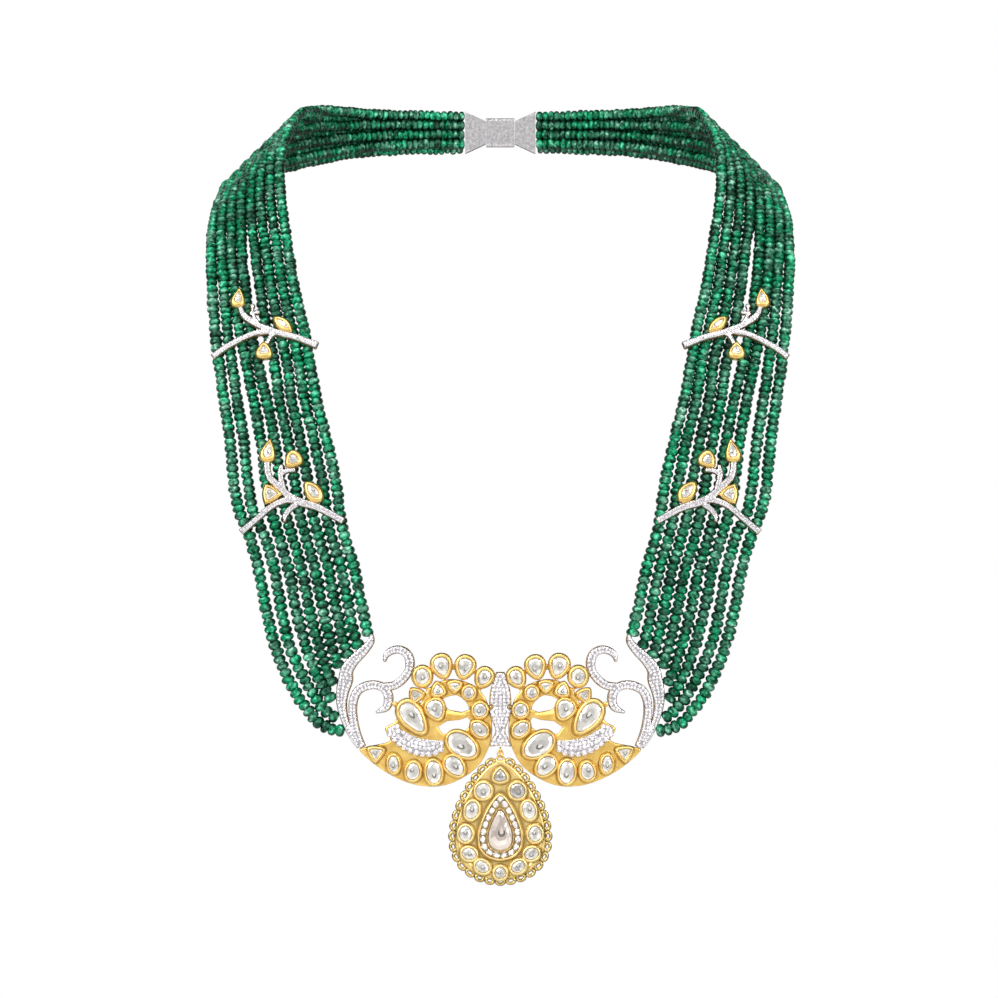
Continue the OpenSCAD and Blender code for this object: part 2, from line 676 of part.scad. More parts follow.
module centre_body() {
    color(white_gold)
        upright(CENTRE_BACK_Y, body_t)
            centre_area();
    color(yellow_gold)
        translate([0, HINGE_Y, HINGE_Z])
            rotate([0, 90, 0])
                rotate_extrude($fn = 32)
                    translate([TAIL_RING_R, 0])
                        circle(d = ring_wire_d, $fn = 16);
}

// Drop
module drop_area() {
    edge = pear(drop_w + LOOP_WIDE - 2 * LOOP_WIRE, drop_h + LOOP_WIDE - 2 * LOOP_WIRE, DROP_TAPER, 96);
    closed = concat(edge, [edge[0]]);
    spots = evenly(closed, 2 * loop_count);
    difference() {
        union() {
            polygon(pear(drop_w, drop_h, DROP_TAPER, 64));
            translate([0, CROWN_Z])
                circle(r = CROWN_R, $fn = 24);
            for (k = [1:loop_count - 1])
                drop_loop(spots, k)
                    polygon(pear(LOOP_LONG, LOOP_WIDE, 0, 14));
        }
        for (k = [1:loop_count - 1])
            drop_loop(spots, k)
                translate([0, LOOP_HOLE[2]])
                    polygon(pear(LOOP_HOLE[0], LOOP_HOLE[1], 0, 10));
        translate([-CROWN_SLIT[0] / 2, CROWN_SLIT_Z - CROWN_SLIT[1] / 2])
            square(CROWN_SLIT);
    }
}

// A loop lies on every second spot; the first spot, at the top, has the bail
module drop_loop(spots, k) {
    ahead = spots[2 * k + 1] - spots[2 * k - 1];
    translate(spots[2 * k])
        rotate(atan2(ahead[1], ahead[0]))
            children();
}

module drop_frame() {
    back_y = HINGE_Y + drop_t / 2;
    color(pale_gold) {
        translate([0, 0, DROP_Z]) {
            upright(back_y, drop_t)
                drop_area();
            upright(back_y, drop_t + bezel_h)
                bezel_walls(DROP_STONES, bezel_wall);
            upright(back_y, drop_t + bezel_h)
                translate([0, HALO_Z])
                    difference() {
                        polygon(pear(HALO_BEZEL[0], HALO_BEZEL[1], HALO_BEZEL[2], 40));
                        offset(delta = -HALO_BEZEL_WALL)
                            polygon(pear(HALO_BEZEL[0], HALO_BEZEL[1], HALO_BEZEL[2], 40));
                    }
            upright(back_y, drop_t + CENTRE_LIFT * bezel_h)
                bezel_walls([DROP_CENTRE_STONE], CENTRE_WALL);
        }
        translate([0, HINGE_Y, HINGE_Z - BAIL_RING_R])
            rotate([90, 0, 0])
                rotate_extrude($fn = 32)
                    translate([BAIL_RING_R, 0])
                        circle(d = ring_wire_d, $fn = 16);
    }
}

module drop_gems(rows, height) {
    color(uncut_diamond)
        translate([0, HINGE_Y - drop_t / 2 - piece_gap, DROP_Z])
            rotate([90, 0, 0])
                for (r = rows) stone(r, 0, height);
}

module drop_halo() {
    rim = pear(HALO_BEZEL[0], HALO_BEZEL[1], HALO_BEZEL[2], 96);
    edge = inset(rim, HALO_BEZEL_WALL + HALO_GAP + halo_d / 2);
    spots = evenly(concat(edge, [edge[0]]), halo_count);
    color(uncut_diamond)
        translate([0, HINGE_Y - drop_t / 2 - piece_gap, DROP_Z + HALO_Z])
            rotate([90, 0, 0])
                for (k = [0:halo_count - 1])
                    stone([spots[k][0], spots[k][1], halo_d, halo_d, 0, 0, 0], 0, HALO_RISE * bezel_h,
                        SMALL_STONE_SIDES);
}

// Clasp and end caps: a tapering outline from the front, rounded corners from the end
module end_cap(side) {
    strand_end = BAND[0][0][0] + CAP_CLEARANCE;
    inner_end = -clasp_half_w - piece_gap;
    neck = clasp_half_w - 1;
    color(white_gold)
        on_side(side)
            intersection() {
                translate([0, clasp_depth, 0])
                    upright(0, clasp_depth)
                        polygon([[strand_end, -cap_half_h], [strand_end, cap_half_h], [inner_end, neck],
                            [inner_end, -neck]]);
                translate([strand_end, 0, 0])
                    rotate([90, 0, 90])
                        linear_extrude(inner_end - strand_end)
                            translate([clasp_depth / 2, 0])
                                offset(r = 1.2, $fn = 16)
                                    square([clasp_depth - 2.4, 2 * cap_half_h - 2.4], center = true);
            }
}

module clasp() {
    color(white_gold)
        translate([-clasp_half_w, 0, 0])
            rotate([90, 0, 90])
                linear_extrude(2 * clasp_half_w)
                    translate([clasp_depth / 2, 0])
                        offset(r = 1, $fn = 16)
                            square([clasp_depth - 2, 2 * clasp_half_w - 2], center = true);
}

// What is drawn
for (s = SIDES) {
    for (i = [1:STRAND_COUNT])
        strand(s, i - 1);
    for (p = ["upper", "lower"]) {
        spacer(s, p);
        spacer_stones(s, p);
    }
    peacock(s);
    wing(s);
    scroll(s);
    bird_stones(s, [BODY_STONE]);
    bird_stones(s, [BREAST_STONE]);
    bird_stones(s, [HEAD_STONE]);
    for (i = [1:4])
        bird_stones(s, [CREST[i - 1]]);
    bird_stones(s, NECK_STONES);
    bird_stones(s, TAIL_STONES);
    end_cap(s);
}
centre_body();
drop_frame();
drop_gems([DROP_CENTRE_STONE], CENTRE_LIFT * bezel_h);  // drop_centre_stone
drop_gems(DROP_STONES, bezel_h);  // drop_stones
drop_halo();
clasp();
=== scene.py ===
"""Layered bead necklace with two peacocks and a pear drop: the looks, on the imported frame."""
import math
import random

import bpy
import numpy as np
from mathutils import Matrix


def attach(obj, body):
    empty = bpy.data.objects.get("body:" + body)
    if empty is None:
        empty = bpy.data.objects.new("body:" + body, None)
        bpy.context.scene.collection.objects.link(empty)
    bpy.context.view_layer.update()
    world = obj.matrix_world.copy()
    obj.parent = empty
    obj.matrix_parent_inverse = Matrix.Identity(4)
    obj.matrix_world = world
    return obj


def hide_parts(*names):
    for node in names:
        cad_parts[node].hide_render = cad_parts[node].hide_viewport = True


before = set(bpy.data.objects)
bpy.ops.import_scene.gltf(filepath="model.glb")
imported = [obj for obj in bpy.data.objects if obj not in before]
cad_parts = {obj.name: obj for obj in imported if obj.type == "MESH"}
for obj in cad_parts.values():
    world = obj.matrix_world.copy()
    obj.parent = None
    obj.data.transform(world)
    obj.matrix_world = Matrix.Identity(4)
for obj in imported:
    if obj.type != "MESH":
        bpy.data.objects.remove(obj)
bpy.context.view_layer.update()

# Shapes are written in millimetres, as in the solids; MM turns them into metres
MM = 0.001
SIDES = ["left", "right"]
STRAND_COUNT = 8

# Shares of the band's width at which the strands lie, from the outermost to the innermost
EVEN = [i / (STRAND_COUNT - 1) for i in range(STRAND_COUNT)]
SPLIT = [0, 0.14, 0.27, 0.40, 0.58, 0.72, 0.86, 1]
PAIRED = [0, 0.14, 0.30, 0.42, 0.61, 0.75, 0.88, 1]
LOOSE = [0, 0.14, 0.32, 0.46, 0.60, 0.73, 0.87, 1]
FANNED = [0, 0.16, 0.31, 0.45, 0.59, 0.73, 0.865, 1]

# Stations of the left band: outermost strand, innermost strand, half the depth between strands, shares
BAND = [
    [[-13, 3.1, -5.6], [-13, 3.1, 5.6], 1.45, EVEN],
    [[-30, 0.5, -6], [-29.5, 0.5, 6], 1.45, EVEN],
    [[-51, -9, -8], [-47, -9, 6], 1.4, EVEN],
    [[-72, -26, -13.2], [-60.5, -26, 6.2], 1.25, EVEN],
    [[-86.5, -43, -19], [-66.5, -43, 5], 0.75, EVEN],
    [[-93.5, -60, -21], [-69, -60, 3], 0, EVEN],
    [[-95.5, -72, -26], [-72.5, -72, -3], 0, EVEN],
    [[-97.5, -82, -33], [-75, -82, -13], 0, EVEN],
    [[-98, -91, -41.5], [-74.5, -91, -27], 0, EVEN],
    [[-97.8, -99, -50], [-71.8, -98, -45], 0, SPLIT],
    [[-97.2, -104.2, -58], [-69.6, -104.2, -58], 0, SPLIT],
    [[-96.3, -109.2, -70.5], [-66.5, -109.2, -70.5], 0, SPLIT],
    [[-94.6, -114.3, -83], [-64.2, -114.3, -83], 0, PAIRED],
    [[-92.7, -119.2, -96], [-61.7, -119.2, -96], 0, LOOSE],
    [[-90.7, -123.3, -108], [-58.6, -123.3, -108], 0, LOOSE],
    [[-89, -127, -125], [-54.8, -127, -125], 0, LOOSE],
    [[-87, -129.2, -134], [-53.7, -129.2, -134], 0, LOOSE],
    [[-83.8, -130.5, -141.5], [-52.2, -130.5, -141.5], 0, FANNED],
    [[-80.5, -132, -153], [-48.7, -132, -153], 0, FANNED],
    [[-78.5, -132.8, -164], [-46.5, -132.8, -164], 0, FANNED],
]

# The last points of each left strand down to the end bar: across, up
STRAND_ENDS = [
    [[-76.1, -174.6], [-72.9, -184.5], [-67.9, -194.6], [-61, -203.4], [-56.3, -206.1], [-53.3, -206.5]],
    [[-71.3, -175], [-67.2, -185.6], [-62.1, -195], [-58.2, -200], [-55.4, -202]],
    [[-65.5, -176.3], [-61.8, -186.6], [-59, -192.2], [-56.7, -195.8]],
    [[-60.8, -177.3], [-58.2, -185.4], [-56, -190.3]],
    [[-56.6, -177.1], [-54.2, -184.6]],
    [[-52.6, -175.8], [-51.1, -181.1]],
    [[-49.3, -172.6], [-47.6, -178]],
    [[-45.2, -169.5], [-44.4, -173.9]],
]
END_DEPTH = -133
NECK_CENTRE_Y = -60
# Points for each stretch of a strand, a bar, a row of pave stones, and the outlines
ROUTE_STEPS = 6
RIBBON_STEPS = 6
PAVE_STEPS = 8
BIRD_STEPS = 4
WING_STEPS = 6
WING_TOP_STEPS = 4
CENTRE_STEPS = 4

# Beads: height, width and pitch, and how much they vary
BEAD_HEIGHTS = [-180, -120, -60, -25]
BEAD_WIDTHS = [4.45, 4.26, 4.18, 3.8]
BEAD_PITCHES = [2.62, 2.38, 2.3, 2.1]
SIZE_SPREAD = 0.06
SIDE_SPREAD = 0.16
TILT_SPREAD = 0.13
SQUASH_SPREAD = 0.03
BEAD_SIDES = 12
# A bead from end to end: share of half its length, share of its radius
BEAD_SECTION = [(-1.0, 0.38), (-0.86, 0.68), (-0.50, 0.92), (0.0, 1.0), (0.50, 0.92), (0.86, 0.68),
                (1.0, 0.38)]
# Painted light and shade on a bead: how much lighter or darker each ring of its points is, with painted shade
# at the ends where beads meet; how much darker its sides are and how fast they fall off, a painted shade for
# the dark rims of glass beads; and how uneven the points are, which mottles them and partly paints highlights
BEAD_BANDS = [-0.06, -0.02, 0.02, 0.03, 0.0, -0.06, -0.10]
SIDE_SHADE = 0.68
SIDE_FALL = 2.6
POINT_SPREAD = 0.24
# The painted shade leaves a bead lightest where it looks to the front, turned outward by a share
FRONT = np.array([0, -1, 0])
OUTWARD_SHARE = 0.3
# Half a bead's length as a share of the pitch
BEAD_TOUCH = 0.54
# How far the last bead of a strand reaches past its route, into the end bar
END_REACH = 1.2
# Seeds of the beads lie this far apart from strand to strand
STRAND_SEED = 100
# How light each strand is, from the outermost to the innermost
STRAND_LIGHT = [0.66, 0.60, 0.54, 0.50, 0.50, 0.51, 0.57, 0.67]
TONE_SPREAD = 0.09
# How much lighter or darker the beads are by height
LIGHT_HEIGHTS = [-110, -60]
LIGHT_RISE = [0.0, 0.02]

# Spacers
SPACER_GAP = 0.3
TWIG_T = 1.6
BACK_BAR_T = 1.0
BAR_ROUND = 0.3
LEAF_CUP_H = 2.3
LEAF_WALL = 1.4
BACK_SHARE = 0.85
UPPER_SPACER = [-79.3, -110.25, -73]
UPPER_TILT = 22
LOWER_SPACER = [-69.3, -127.95, -129.6]
LOWER_TILT = 12.1
# The bead radius that the solids take at each spacer
UPPER_BEAD_R = 1.68
LOWER_BEAD_R = 1.82

# Twigs: across, up, width
UPPER_ARC = [[-17.3, -9.2, 2.2], [-13.4, -6, 2.2], [-8.1, -2.8, 2.1], [-3.8, -0.8, 2.1],
             [-0.8, -0.2, 2.1], [2.5, 0, 2.1]]
UPPER_RIGHT = [[17.8, -4.9, 2.7], [14.4, -3.6, 2.4], [11.1, -2.2, 2.3], [7.1, -1.1, 2.3], [2.2, 0.2, 2.5]]
UPPER_STEM = [[3, 0.2, 2.5], [-1, 1.8, 2.3], [-4.8, 4, 2.3], [-7.3, 6.3, 2.2], [-8.6, 9.6, 1.8]]
UPPER_TWIG = [[3.4, -0.2, 2], [2, -1.8, 1.8], [0.6, -4.6, 1.6]]
UPPER_BUD = [[-2, 2.5, 1.8], [-3.4, 4.7, 1.6], [-4.1, 6.9, 1.4], [-4.2, 9.2, 1.2]]
UPPER_LOBES = [[-4.2, 9.4, 0.95], [-4.2, 6.8, 1.1], [-2.5, 7.2, 1.0]]
LOWER_ARC = [[-17.2, -11, 2.4], [-12.5, -6.9, 2.2], [-7.2, -2.3, 2.2], [-3, -0.3, 2.3], [0.5, 0.1, 2.3]]
LOWER_RIGHT = [[16.9, -7.2, 2.4], [12.7, -4.8, 2.5], [8, -2.4, 2.6], [3.3, -1, 2.8], [-0.1, 0.4, 2.8]]
LOWER_STEM = [[-0.1, 0.4, 2.9], [-2.5, 2.4, 2.7], [-5.5, 5.2, 2.6], [-8.2, 8.5, 2.5], [-8.8, 13.4, 2.3]]
LOWER_TWIG = [[-2.8, 2.9, 2], [-3.6, 5.8, 2.1], [-4.2, 9, 2.1], [-3.8, 12, 1.6]]
LOWER_BRANCH = [[-4, 8.8, 1.8], [-2, 10, 1.8], [1, 10.2, 1.4]]
LOWER_HOOK = [[1.5, -1.5, 2], [-0.9, -3.1, 2.1], [-2.5, -5.4, 2], [-2.7, -7.6, 1.2]]
UPPER_POSTS = [[-10.1, -3.8, 0.6], [-1.95, -0.2, 1.0]]
LOWER_POSTS = [[-9.5, -4.3, 0.7], [9.1, -2.8, 0.7]]

# Every stone row: across, up, width, height, turn, narrowing towards the tip, corners, pinch of the ends
UPPER_LEAVES = [
    [-9, 12.3, 2.6, 4.2, -6, 0.55, 0],
    [6.1, 2.5, 1.7, 5.2, 50, 0, 0, 0.35],
    [-0.1, -7, 3.3, 3.2, 0, 0.45, 0],
]
LOWER_LEAVES = [
    [-8.3, 16.8, 2.9, 5.2, -10, 0.50, 0],
    [0, 13.6, 3.5, 3.3, 135, 0.3, 0],
    [-7.4, 1.9, 5.1, 4.8, -90, 0.1, 0.5],
    [6.8, 2.7, 3.0, 5.6, 40, 0.15, 0, 0.3],
]

# Leaf cups: how far they reach past the stone's ends, and how their tips narrow
CUP_STRETCH = 2.4
CUP_SHARPER = 1.3
CUP_SHARPEST = 0.75

# Birds, from the middle of the neck ring
BIRD_X = -15.8
BIRD_Z = -207
BIRD_BACK_Y = -132
PLATE_T = 2.0
BEZEL_H = 1.2
BEZEL_WALL = 1.0
CREST_WALL = 1.25
BODY_WALL = 1.35
PIECE_GAP = 0.12
WING_T = 0.9
CREST = [
    [-10.2, 18.5, 4.8, 5.3, 0, 0, 0],
    [-3.7, 21.9, 5.1, 6.4, 196, 0.32, 0],
    [4.0, 21.6, 4.9, 6.1, 166, 0.32, 0],
    [10.4, 18.1, 4.2, 5.3, 150, 0.25, 0],
]
NECK_STONES = [
    [-12.3, 12.3, 4.4, 4.2, 40, 0.1, 0.6],
    [-5.0, 14.0, 4.0, 4.2, 10, 0.2, 0.35],
    [0.6, 15.3, 4.0, 3.4, 180, 0.1, 0.5],
    [5.3, 13.1, 3.7, 3.9, 0, 0, 0],
    [9.0, 7.3, 4.5, 4.5, 0, 0, 0],
    [8.9, 0.9, 4.3, 6.1, 50, 0, 0.1],
]
TAIL_STONES = [
    [0.6, -11.4, 5.4, 7.4, 222, 0.15, 0],
    [-6.4, -13.4, 5.1, 7.7, 4, 0.05, 0],
    [-13.3, -13.1, 4.5, 5.8, -8, 0.10, 0],
    [-19.8, -10.7, 3.5, 5.6, 6, 0, 0],
    [-25.7, -7.1, 5.2, 5.0, 176, 0.1, 0.7],
]
CREST_WEBS = [[-6.9, 20, 0.8], [0.2, 21.6, 0.9], [7.5, 19.9, 0.8], [-9.2, 15.1, 0.9], [8.7, 14.8, 1.1]]
BODY_STONE = [-13.4, 4.75, 6.3, 11.6, 217, 0.33, 0]
HEAD_STONE = [-5.8, 7.5, 5.6, 6.4, 203, 0.32, 0]
BREAST_STONE = [3.1, -4.4, 7.0, 11.0, 55, -0.1, 0]
BEAK = [[-3.4, 7.4], [1.5, 6.8], [5.3, 6.1], [1.5, 4.2], [-3.4, 3.8]]
BIRD_OUTLINE = [
    [-30.9, -6.5], [-22.8, -13.2], [-12.7, -17.6], [-2.3, -17.7], [7.5, -12.3], [12.4, -4],
    [12.9, 4], [10.6, 11.7], [5.4, 16.3], [-1.5, 17.6], [-7.2, 15.2], [-14, 11], [-18.4, 9],
    [-19, 3.8], [-22.7, 1.2], [-21, -3], [-28.5, -4.9],
]
UPPER_GAP = [[-4, 10.7], [-1.3, 11.9], [1, 12.3], [3.4, 11.2], [5, 9], [5.4, 7.4], [3, 6.6], [-1.4, 7.4],
             [-2.7, 8.9]]
LOWER_GAP = [[-2, 3.6], [2.2, 4], [4.9, 4.9], [5.7, 3.8], [5.3, 1.6], [3.8, 0.3], [1.5, 0.8],
             [-1.6, -0.4], [-3.3, -0.8], [-5, 1.6]]
SMALL_GAPS = [[-9.6, 13.7, 0.75], [-10.8, 10.2, 0.55]]
WING_TOP = [[-22, 1.4], [-18.6, 2.4], [-17.6, 1.2], [-14.4, -0.8], [-12.4, -1.8], [-9.5, -2.5], [-5.3, -2.7]]
WING_LOW = [[-3.9, -3.7], [-3.8, -5.6], [-5.9, -6.9], [-9, -7.4], [-12.4, -6.9], [-15.6, -5.4],
            [-18.7, -3.1], [-21, -0.6]]
WING_SCALLOPS = 10
WING_SCALLOP_R = 1.1
SCALLOP_STONE_D = 1.7

# End bar and scrolls: across, up, width
END_BAR = [
    [-27.3, 32.9, 1.2], [-27.3, 30.3, 2.4], [-29.7, 27.3, 3.3], [-33, 24, 3.8], [-35.3, 20.7, 4.4],
    [-35.8, 17.3, 5.0], [-36.7, 14, 4.5], [-37.1, 10.7, 3.8], [-36.8, 7.3, 3.2], [-36, 4, 2.6],
    [-34.7, 0.7, 2.4], [-32.9, -2.4, 2.4], [-31.1, -4.9, 2.2],
]
INNER_SCROLL = [
    [-30, -5.1, 2.3], [-31.2, -2.7, 2.6], [-32.4, 0.7, 2.8], [-33.1, 4, 2.9], [-33.4, 7.3, 2.9],
    [-33.1, 10.7, 3], [-31.7, 13.7, 3], [-29, 15.3, 3], [-26, 15.7, 2.9], [-23.3, 14.8, 3],
    [-21.7, 12.7, 3.2], [-21.5, 10.3, 3.2], [-22.5, 8, 2.6], [-25.7, 6.5, 0.8],
]
UPPER_SCROLL = [
    [-23, 14.9, 3], [-19.7, 15.5, 2.8], [-17, 17.3, 3], [-14.8, 20.3, 3], [-14.3, 23.3, 3.2],
    [-15.3, 26, 3.1], [-17.7, 27.4, 2.8], [-20.3, 27.1, 2.6], [-22.2, 25.7, 2.2], [-22.8, 23.4, 0.9],
]
SCROLL_BACK_Y = -131.5
SCROLL_T = 3.0
KNOBS = [[-19.3, 9.2, 0.9], [12.3, 8.3, 0.7]]

# Centre body: height, half width
CENTRE_OUTLINE = [
    [-187, 1.4], [-188.4, 1.9], [-190.6, 2.5], [-193, 3.3], [-197, 3.7], [-200.5, 3.5],
    [-203.3, 2.7], [-205.6, 1.8], [-207.4, 1.75], [-209.2, 2.7], [-211.9, 3.8],
]
CENTRE_TAIL_NOTCH = 0.4
CENTRE_BACK_Y = -131.7
CENTRE_T = 3.4

# Drop
HINGE_Y = -133.2
HINGE_Z = -213.2
TAIL_RING_R = 0.95
BAIL_RING_R = 0.9
RING_WIRE_D = 0.6
DROP_W = 30.6
DROP_H = 39.5
DROP_T = 1.8
DROP_Z = -236.5
DROP_TAPER = 0.34
LOOP_COUNT = 32
LOOP_LONG = 4.1
LOOP_WIDE = 3.0
LOOP_WIRE = 0.85
LOOP_BEAD_R = 0.58
LOOP_DRAW_IN = 0.15
# Points of the drop's outline, the halo's, and the line that the loops lie on
DROP_POINTS = 80
HALO_POINTS = 64
LOOP_LINE_POINTS = 96
LOOP_LIFT = 0.55
LOOP_POINTS = 20
RING_POINTS = 32
CROWN_Z = 19.8
CROWN_R = 1.9
CROWN_SLIT = [1.5, 0.7]
CROWN_SLIT_Z = 20.55
HALO_COUNT = 19
HALO_D = 1.8
# The halo's stones are drawn a little larger than their solids, and longer along their line
HALO_GROWTH = 1.08
HALO_STRETCH = 1.18
HALO_Z = -2.2
HALO_BEZEL = [15.8, 22.8, 0.42]
HALO_BEZEL_WALL = 0.9
HALO_GAP = 0.2
HALO_LIFT = 0.62
CENTRE_WALL = 0.55
CENTRE_STONE_LIFT = 1.4
CENTRE_LIGHT = 0.88
DROP_CENTRE_STONE = [0, -3.2, 8.5, 14.1, 0, 0.48, 0]
DROP_STONES_MID = [
    [0, 15.0, 4.5, 4.5, 0, 0.35, 0.15],
    [0, -17.4, 3.9, 3.9, 0, 0.1, 0],
]
DROP_STONES_SIDE = [
    [5.7, 9.9, 5.1, 5.2, 20, 0, 0],
    [9.5, 3.4, 4.4, 6.0, 15, 0, 0],
    [11.6, -4.4, 4.5, 5.2, 0, 0.05, 0],
    [10.4, -11.1, 4.9, 3.9, 18, 0, 0],
    [6.0, -15.4, 4.9, 3.8, 30, 0, 0],
]
DROP_STONES = DROP_STONES_MID + [
    [s * r[0], r[1], r[2], r[3], s * r[4], r[5], r[6]] for s in (-1, 1) for r in DROP_STONES_SIDE
]
# How light each outer stone is: the top one and the upper right one are greyer
DROP_LIGHTS = [0.62, 0.9, 1.0, 0.95, 0.95, 0.92, 0.95, 0.55, 0.97, 1.0, 0.85, 0.85]
RIM_WIDTH = 2.1
RIM_RISE = 0.45

# Detail of the reliefs and stones
FINE_CELL = 0.22
BAR_CELL = FINE_CELL * 1.5
LEAST_DEPTH = 1e-4
EDGE_ROUND = 0.45
# A white top starts inside its gold edge piece and ends a little below the full thickness
TOP_BACK = 0.4
TOP_DROP = 0.1
# How deep the pave stones are set, and how high a stone stands in its bezel
PAVE_SET = 0.14
TWIG_SET = 0.12
WING_SET = 0.05
STONE_RISE = 0.98
OUTLINE_POINTS = 48
STONE_POINTS = 24
PAVE_D = 0.92
TWIG_TABLES = (0.1, 0.75)
TWIG_RIM = 0.25
TWIG_EDGE = 0.1
# How unevenly pave stones lie and how their sizes differ, as shares of their size
PAVE_JITTER = 0.07
SCROLL_PAVE_D = 1.22
WING_PAVE_D = 1.5
CENTRE_PAVE_D = 1.3
SHARP_ANGLE = 0.9
# Plates of two layers: thickness, the gold edge's share of it, rounding of the edge and of the top, cell
TWIG_LAYERS = (TWIG_T, 0.55, 0.2, 0.6, FINE_CELL)
SCROLL_LAYERS = (SCROLL_T, 0.72, 0.25, 0.55, FINE_CELL)
CENTRE_LAYERS = (CENTRE_T, 0.8, 0.25, 0.9, FINE_CELL * 0.8)


# Curves
def curve_point(a, b, c, d, t):
    """The point at share t between b and c, on a smooth curve through a, b, c and d."""
    square = 2 * a - 5 * b + 4 * c - d
    cube = 3 * b - a - 3 * c + d
    return 0.5 * (2 * b + (c - a) * t + square * t * t + cube * t ** 3)


def spline(rows, steps, loop=False):
    """Points on a smooth curve through rows of numbers, open or closed."""
    rows = np.array(rows, float)
    n = len(rows)
    points = []
    for i in range(n if loop else n - 1):
        near = [k % n if loop else min(max(k, 0), n - 1) for k in range(i - 1, i + 3)]
        points += [curve_point(*rows[near], k / steps) for k in range(steps)]
    return np.array(points if loop else points + [rows[-1]])


def running_length(path):
    steps = np.linalg.norm(np.diff(path, axis=0), axis=1)
    return np.concatenate([[0], np.cumsum(steps)])


def at_length(path, table, s):
    return np.array([np.interp(s, table, path[:, k]) for k in range(path.shape[1])]).T


def evenly(path, count):
    """count + 1 points at even distances along a path."""
    table = running_length(path)
    return at_length(path, table, np.linspace(0, table[-1], count + 1))


def closed(loop):
    return np.vstack([loop, loop[:1]])


def circle_path(radius, count):
    a = 2 * math.pi * np.arange(count) / count
    return np.column_stack([radius * np.cos(a), radius * np.sin(a)])


def unit(v):
    return v / np.linalg.norm(v)


def unit_rows(v):
    return v / np.linalg.norm(v, axis=1)[:, None]


def loop_ahead(loop):
    """The direction ahead at each point of a closed loop."""
    return unit_rows(np.roll(loop, -1, axis=0) - np.roll(loop, 1, axis=0))


def outward_of(loop):
    """Outward directions at the points of an anticlockwise loop."""
    ahead = loop_ahead(loop)
    return np.column_stack([ahead[:, 1], -ahead[:, 0]])


# Flat outlines: how far a tapered outline's width is evened out, a distance beyond any other, and the
# square of the shortest edge that counts
TAPER_EASE = 0.45
FAR = 1e9
LEAST_EDGE = 1e-12


def outline(row, sides):
    """The outline of a row of the tables of stones, anticlockwise."""
    across, up, width, height, turn, taper, corners, *pinch = row
    t = -360 * np.arange(sides) / sides
    a = np.radians(t)
    reach = (0.5 / np.cos(np.radians(60 - t % 120))) ** corners
    narrow = np.abs(np.sin(a)) ** pinch[0] if pinch else 1
    x = width / 2 * np.sin(a) * narrow * (1 - taper * np.cos(a)) * reach / (1 + TAPER_EASE * taper ** 2)
    y = height / 2 * np.cos(a) * reach
    c, s = math.cos(math.radians(turn)), math.sin(math.radians(turn))
    return np.column_stack([across + x * c - y * s, up + x * s + y * c])


def pear(width, height, taper, sides):
    return outline([0, 0, width, height, 0, taper, 0], sides)


def ribbon(rows):
    """The outline of a bar of changing width along a smooth line."""
    path = spline(rows, RIBBON_STEPS)
    ahead = unit_rows(np.gradient(path[:, :2], axis=0))
    across = np.column_stack([-ahead[:, 1], ahead[:, 0]]) * path[:, 2:3] / 2
    return np.vstack([path[:, :2] - across, (path[:, :2] + across)[::-1]])


def distance(x, z, loop):
    """Signed distance from points to a closed loop; it is negative inside."""
    loop = np.asarray(loop, float)
    best = np.full(x.shape, FAR)
    inside = np.zeros(x.shape, bool)
    for (ax, az), (bx, bz) in zip(loop, np.roll(loop, -1, axis=0)):
        ex, ez = bx - ax, bz - az
        size = ex * ex + ez * ez
        if size < LEAST_EDGE:
            continue
        wx, wz = x - ax, z - az
        t = np.clip((wx * ex + wz * ez) / size, 0, 1)
        best = np.minimum(best, (wx - t * ex) ** 2 + (wz - t * ez) ** 2)
        if bz != az:
            spans = ((az <= z) & (bz > z)) | ((bz <= z) & (az > z))
            inside ^= spans & (x < ax + (z - az) / (bz - az) * ex)
    return np.where(inside, -1, 1) * np.sqrt(best)


def joined(x, z, loops, spots=()):
    """Signed distance to loops and to round spots (across, up, radius) together."""
    layers = [distance(x, z, loop) for loop in loops]
    layers += [np.hypot(x - spot[0], z - spot[1]) - spot[2] for spot in spots]
    return np.minimum.reduce(layers)


def bezel_rims(x, z, rows, walls):
    """Signed distance to each stone with its bezel, one layer a stone."""
    return [distance(x, z, outline(row, OUTLINE_POINTS)) - wall for row, wall in zip(rows, walls)]


# Places: a point given across, up and out of a face, set in the frame
def place(origin, tilt=0, side="left"):
    """Where a face lies: its origin, its backward tilt in degrees, and its side."""
    c, s = math.cos(math.radians(tilt)), math.sin(math.radians(tilt))
    up, out = np.array([0, s, c]), np.array([0, -c, s])
    return {"origin": np.array(origin, float), "up": up, "out": out, "mirror": side == "right"}


def moved(where, up, out):
    """The same place, shifted up and out of its face."""
    return {**where, "origin": where["origin"] + where["up"] * up + where["out"] * out}


def to_frame(where, points):
    """Points given across, up and out, as points of the frame in millimetres."""
    across, up, out = np.asarray(points, float).T[:, :, None]
    spots = where["origin"] + across * np.array([1.0, 0, 0]) + up * where["up"] + out * where["out"]
    if where["mirror"]:
        spots[:, 0] = -spots[:, 0]
    return spots


# Meshes: each is its points, its faces and a tone for each face, or None where it has no tones
def add_mesh(name, points, faces, material, tones=None, mirror=False, smooth=True):
    """A mesh object from points in millimetres; tones holds a number for each face or each point."""
    if mirror:
        faces = [tuple(reversed(f)) for f in faces]
    mesh = bpy.data.meshes.new(name)
    mesh.from_pydata((np.asarray(points) * MM).tolist(), [], faces)
    mesh.materials.append(material)
    mesh.polygons.foreach_set("use_smooth", [smooth] * len(faces))
    if tones is None:
        tones = [1.0] * len(faces)
    layer = mesh.attributes.new("tone", "FLOAT", "FACE" if len(tones) == len(faces) else "POINT")
    layer.data.foreach_set("value", np.asarray(tones, np.float32))
    if smooth:
        mesh.set_sharp_from_angle(angle=SHARP_ANGLE)
    mesh.update()
    piece = bpy.data.objects.new(name, mesh)
    bpy.context.scene.collection.objects.link(piece)
    return piece


